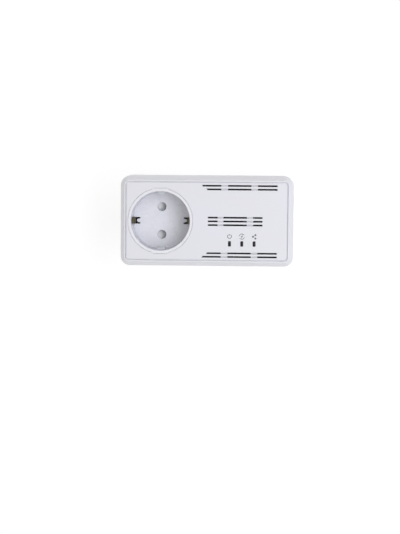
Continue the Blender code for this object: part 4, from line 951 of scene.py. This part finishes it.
# ---------------------------------------------------------------- network jack and button
def make_jack():
    lo, hi = JACK_LO, JACK_HI
    skin = 0.5 * MM
    inner = skin + GAP
    middle = (lo.y + hi.y) / 2
    front = hi.x - 0.4 * MM

    def hollow(bm):
        add_box(bm, (lo.x + skin, lo.y + skin, lo.z + skin), (hi.x + 1 * MM, hi.y - skin, hi.z - skin))

    shell = solid("jack_can", lambda bm: add_box(bm, lo, hi, 0.3 * MM))
    cut(shell, ("DIFFERENCE", hollow))
    show(shell, STEEL, "housing", "steel", "jack_shell")

    def block(bm):
        add_box(bm, (lo.x + inner, lo.y + inner, lo.z + inner), (front, hi.y - inner, hi.z - inner),
                0.1 * MM)

    def mouth(bm):
        for half, low, high in ((5.9 * MM, 3.6 * MM, 10.8 * MM), (3.1 * MM, 1.9 * MM, 4.2 * MM)):
            outline = rounded_rectangle(middle - half, middle + half, lo.z + low, lo.z + high, 0.2 * MM, 3)
            add_mouth(bm, outline, hi.x - 13.2 * MM, front, 0.3 * MM, END_AXES)

    core = solid("jack_core", block)
    cut(core, ("DIFFERENCE", mouth, True))
    show(core, BLACK, "housing", "sleeve_black", "jack_insert")

    def springs(bm):
        pitch = 1.02 * MM
        add_box(bm, (hi.x - 13.0 * MM, middle - 4 * pitch, lo.z + 9.4 * MM),
                (hi.x - 12.0 * MM, middle + 4 * pitch, lo.z + 9.8 * MM), 0.08 * MM)
        for index in range(8):
            y = middle + (index - 3.5) * pitch
            line = softened([(hi.x - 12.3 * MM, lo.z + 9.6 * MM), (hi.x - 6.5 * MM, lo.z + 9.6 * MM),
                             (hi.x - 4.4 * MM, lo.z + 9.0 * MM)], 1.5 * MM, 5)
            add_plate(bm, [strip_outline(line, 0.32 * MM)], -y - 0.21 * MM, -y + 0.21 * MM, SIDE_AXES)

    comb = solid("jack_springs", springs)
    show(comb, GOLD, "housing", "gold", "jack_contacts")


def make_pair_key():
    front = CAP_HI.x
    inner_wall = X1 - wall_inset(CAP_Z) - WALL

    def cap(bm):
        outline = cap_outline(0)
        crown = [(outline, inner_wall - 1.6 * MM), (outline, front - 0.5 * MM)]
        for inset, drop in ((0.12, 0.25), (0.35, 0.08), (0.7, 0.0)):
            crown.append((grown(outline, -inset * MM), front - drop * MM))
        add_loft(bm, crown, END_AXES)

    def flange(bm):
        wide = rounded_rectangle(CAP_Y - 4.9 * MM, CAP_Y + 4.9 * MM, CAP_Z - 2.9 * MM, CAP_Z + 2.9 * MM,
                                 2.8 * MM, 8)
        add_plate(bm, [wide], inner_wall - 1.8 * MM, inner_wall - 0.5 * MM, END_AXES)

    key = solid("pair_key", cap)
    cut(key, ("UNION", flange))
    show(key, SHELL, "pair_button", "shell_white", "pair_button")


# ---------------------------------------------------------------- rear fittings
def make_screws():
    for index in range(1, len(SCREW_PLACES) + 1):
        lo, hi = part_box(f"cover_screw_{index}")
        cx, cy = (lo.x + hi.x) / 2, (lo.y + hi.y) / 2
        points = [(0, lo.z), (2.6 * MM, lo.z), (2.6 * MM, lo.z + 1.6 * MM), (1.3 * MM, lo.z + 1.6 * MM)]
        thread = []
        z = lo.z + 3.0 * MM
        while z < hi.z - 1.6 * MM:
            thread += [(1.05 * MM, z), (1.3 * MM, z + 0.35 * MM)]
            z += 0.7 * MM
        tip = [(1.05 * MM, hi.z - 1.2 * MM), (0, hi.z)]
        profile = softened(points, [0, 0.5 * MM, 0, 0], 4) + thread + tip
        screw = solid(f"housing_screw_{index}", lambda bm: add_turned(bm, profile, 40, (cx, cy)))

        def cross(bm):
            for turn in (0.4, 0.4 + pi / 2):
                place = Matrix.Translation((cx, cy, lo.z)) @ Matrix.Rotation(turn, 4, "Z")
                add_box(bm, (-1.5 * MM, -0.32 * MM, -1 * MM), (1.5 * MM, 0.32 * MM, 1.0 * MM), 0, place)

        cut(screw, ("DIFFERENCE", cross, True))
        show(screw, STEEL, "housing", "steel", f"cover_screw_{index}")


def make_label():
    lo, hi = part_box("rating_label")

    def outline(inset, radius):
        return rounded_rectangle(lo.x + inset, hi.x - inset, lo.y + inset, hi.y - inset, radius, 8)

    label = solid("blank_label", lambda bm: add_plate(bm, [outline(0, 1 * MM)], lo.z, hi.z))
    show(label, LABEL, "housing", "paper", "rating_label")

    def border(bm):
        add_plate(bm, [outline(1.2 * MM, 0.6 * MM), outline(1.45 * MM, 0.35 * MM)],
                  lo.z - 0.02 * MM, lo.z + 0.02 * MM)

    rule = solid("label_border", border)
    show(rule, PRINT, "housing", "paper")


# ---------------------------------------------------------------- carried-over nodes
NODE_FINISHES = {
    "line_contact": BRASS, "neutral_contact": BRASS, "earth_socket_sleeve": BRASS, "earth_rivet": NICKEL,
    "contact_carrier": GREY, "shutter_cover": GREY, "line_wire": BROWN, "neutral_wire": BLUE,
    "power_board": BOARD, "main_board": BOARD, "fuse": BLACK, "varistor": DISC, "filter_capacitor": FILM,
    "common_mode_choke": COPPER, "bridge_rectifier": CHIP, "bulk_capacitor": BLACK, "output_capacitor": BLACK,
    "flyback_transformer": FERRITE, "output_choke": FERRITE, "coupling_transformer": FERRITE,
    "optocoupler": CHIP, "powerline_chip": CHIP, "memory_chip": CHIP, "front_end_chip": CHIP,
    "network_magnetics": CHIP, "crystal": STEEL, "board_header": BLACK, "heat_sink": ALUMINIUM,
    "insulation_sheet": TAPE, "power_led": CLEAR, "link_led": CLEAR, "network_led": CLEAR,
    "switch_body": BLACK, "switch_plunger": BLACK,
}


def dress_nodes():
    for name, finish in NODE_FINISHES.items():
        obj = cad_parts[name]
        obj.data.materials.clear()
        obj.data.materials.append(finish)
        for polygon in obj.data.polygons:
            polygon.use_smooth = False


# ---------------------------------------------------------------- studio
def make_sky(scene):
    """A soft sky: brighter towards -X, with a pale band low down and a bright cap overhead."""
    world = bpy.data.worlds.new("studio")
    scene.world = world
    world.use_nodes = True
    tree = world.node_tree
    background = tree.nodes["Background"]
    background.inputs["Color"].default_value = (1.0, 0.985, 0.955, 1)
    sky = tree.nodes.new("ShaderNodeTexCoord")
    axes = tree.nodes.new("ShaderNodeSeparateXYZ")
    tree.links.new(sky.outputs["Generated"], axes.inputs["Vector"])
    total = spread(tree, axes.outputs["X"], 0.41, -0.09, -1, 1)
    for axis, low, high, first, last in (("Y", 0.08, -0.01, -1, 1), ("Z", 0.28, 0.0, 0.30, 0.50),
                                         ("Z", 0.0, 1.05, 0.85, 0.93)):
        plus = tree.nodes.new("ShaderNodeMath")
        tree.links.new(total, plus.inputs[0])
        tree.links.new(spread(tree, axes.outputs[axis], low, high, first, last), plus.inputs[1])
        total = plus.outputs["Value"]
    tree.links.new(total, background.inputs["Strength"])


def make_floor():
    floor_z = cad_box[0][2] - 0.5 * MM
    floor = solid("floor", lambda bm: bmesh.ops.create_grid(
        bm, x_segments=8, y_segments=8, size=6.0, matrix=Matrix.Translation((0, 0, floor_z))))
    mat, tree, shader, place = start_material("pale_floor")
    tone = ramp(tree, noise(tree, place, 6, 3), [(0.3, (0.24, 0.24, 0.24)), (0.7, (0.26, 0.26, 0.26))])
    tree.links.new(tone, shader.inputs["Base Color"])
    shader.inputs["Roughness"].default_value = 0.9
    shader.inputs["Specular IOR Level"].default_value = 0.1
    shader.inputs["Emission Color"].default_value = (1, 1, 1, 1)
    shader.inputs["Emission Strength"].default_value = 0.80
    floor.data.materials.append(mat)


def make_key_light(scene):
    target = Vector((0.03, 0, 0.045))
    elevation, distance = radians(60), 1.5
    data = bpy.data.lights.new("key", "AREA")
    data.shape = "RECTANGLE"
    data.size = 0.7
    data.size_y = 2.4
    data.energy = 19.2
    data.color = (0.97, 0.985, 1.04)
    key = bpy.data.objects.new("key", data)
    scene.collection.objects.link(key)
    away = Vector((cos(elevation), 0, sin(elevation)))
    key.location = target + away * distance
    side = Vector((0, 1, 0))
    key.rotation_euler = Matrix((side.cross(away), side, away)).transposed().to_euler()


def make_camera(scene):
    """Looks down on the front face from above the slotted half."""
    data = bpy.data.cameras.new("camera")
    data.lens = 70.65
    data.sensor_width = 36
    data.clip_start = 0.01
    data.clip_end = 50
    camera = bpy.data.objects.new("camera", data)
    scene.collection.objects.link(camera)
    place = Vector((0.05015, 0.0113, FRONT_Z + 0.7))
    aim = Vector((0.0269, -0.0306, FRONT_Z))
    forward = (aim - place).normalized()
    right = forward.cross(Vector((0, 1, 0))).normalized()
    up = right.cross(forward)
    basis = Matrix((right, up, -forward)).transposed().to_4x4()
    camera.matrix_world = Matrix.Translation(place) @ basis @ Matrix.Rotation(radians(0.48), 4, "Z")
    scene.camera = camera


scene = bpy.context.scene
scene.view_settings.view_transform = "Standard"
scene.view_settings.look = "None"
make_camera(scene)
make_sky(scene)
make_floor()
make_key_light(scene)
make_front_shell()
make_rear_shell()
make_socket_cup()
make_shutter_block()
make_shutter_coil()
make_plug_base()
make_pins()
make_earth_strips()
make_light_lens()
make_icons()
make_jack()
make_pair_key()
make_screws()
make_label()
dress_nodes()
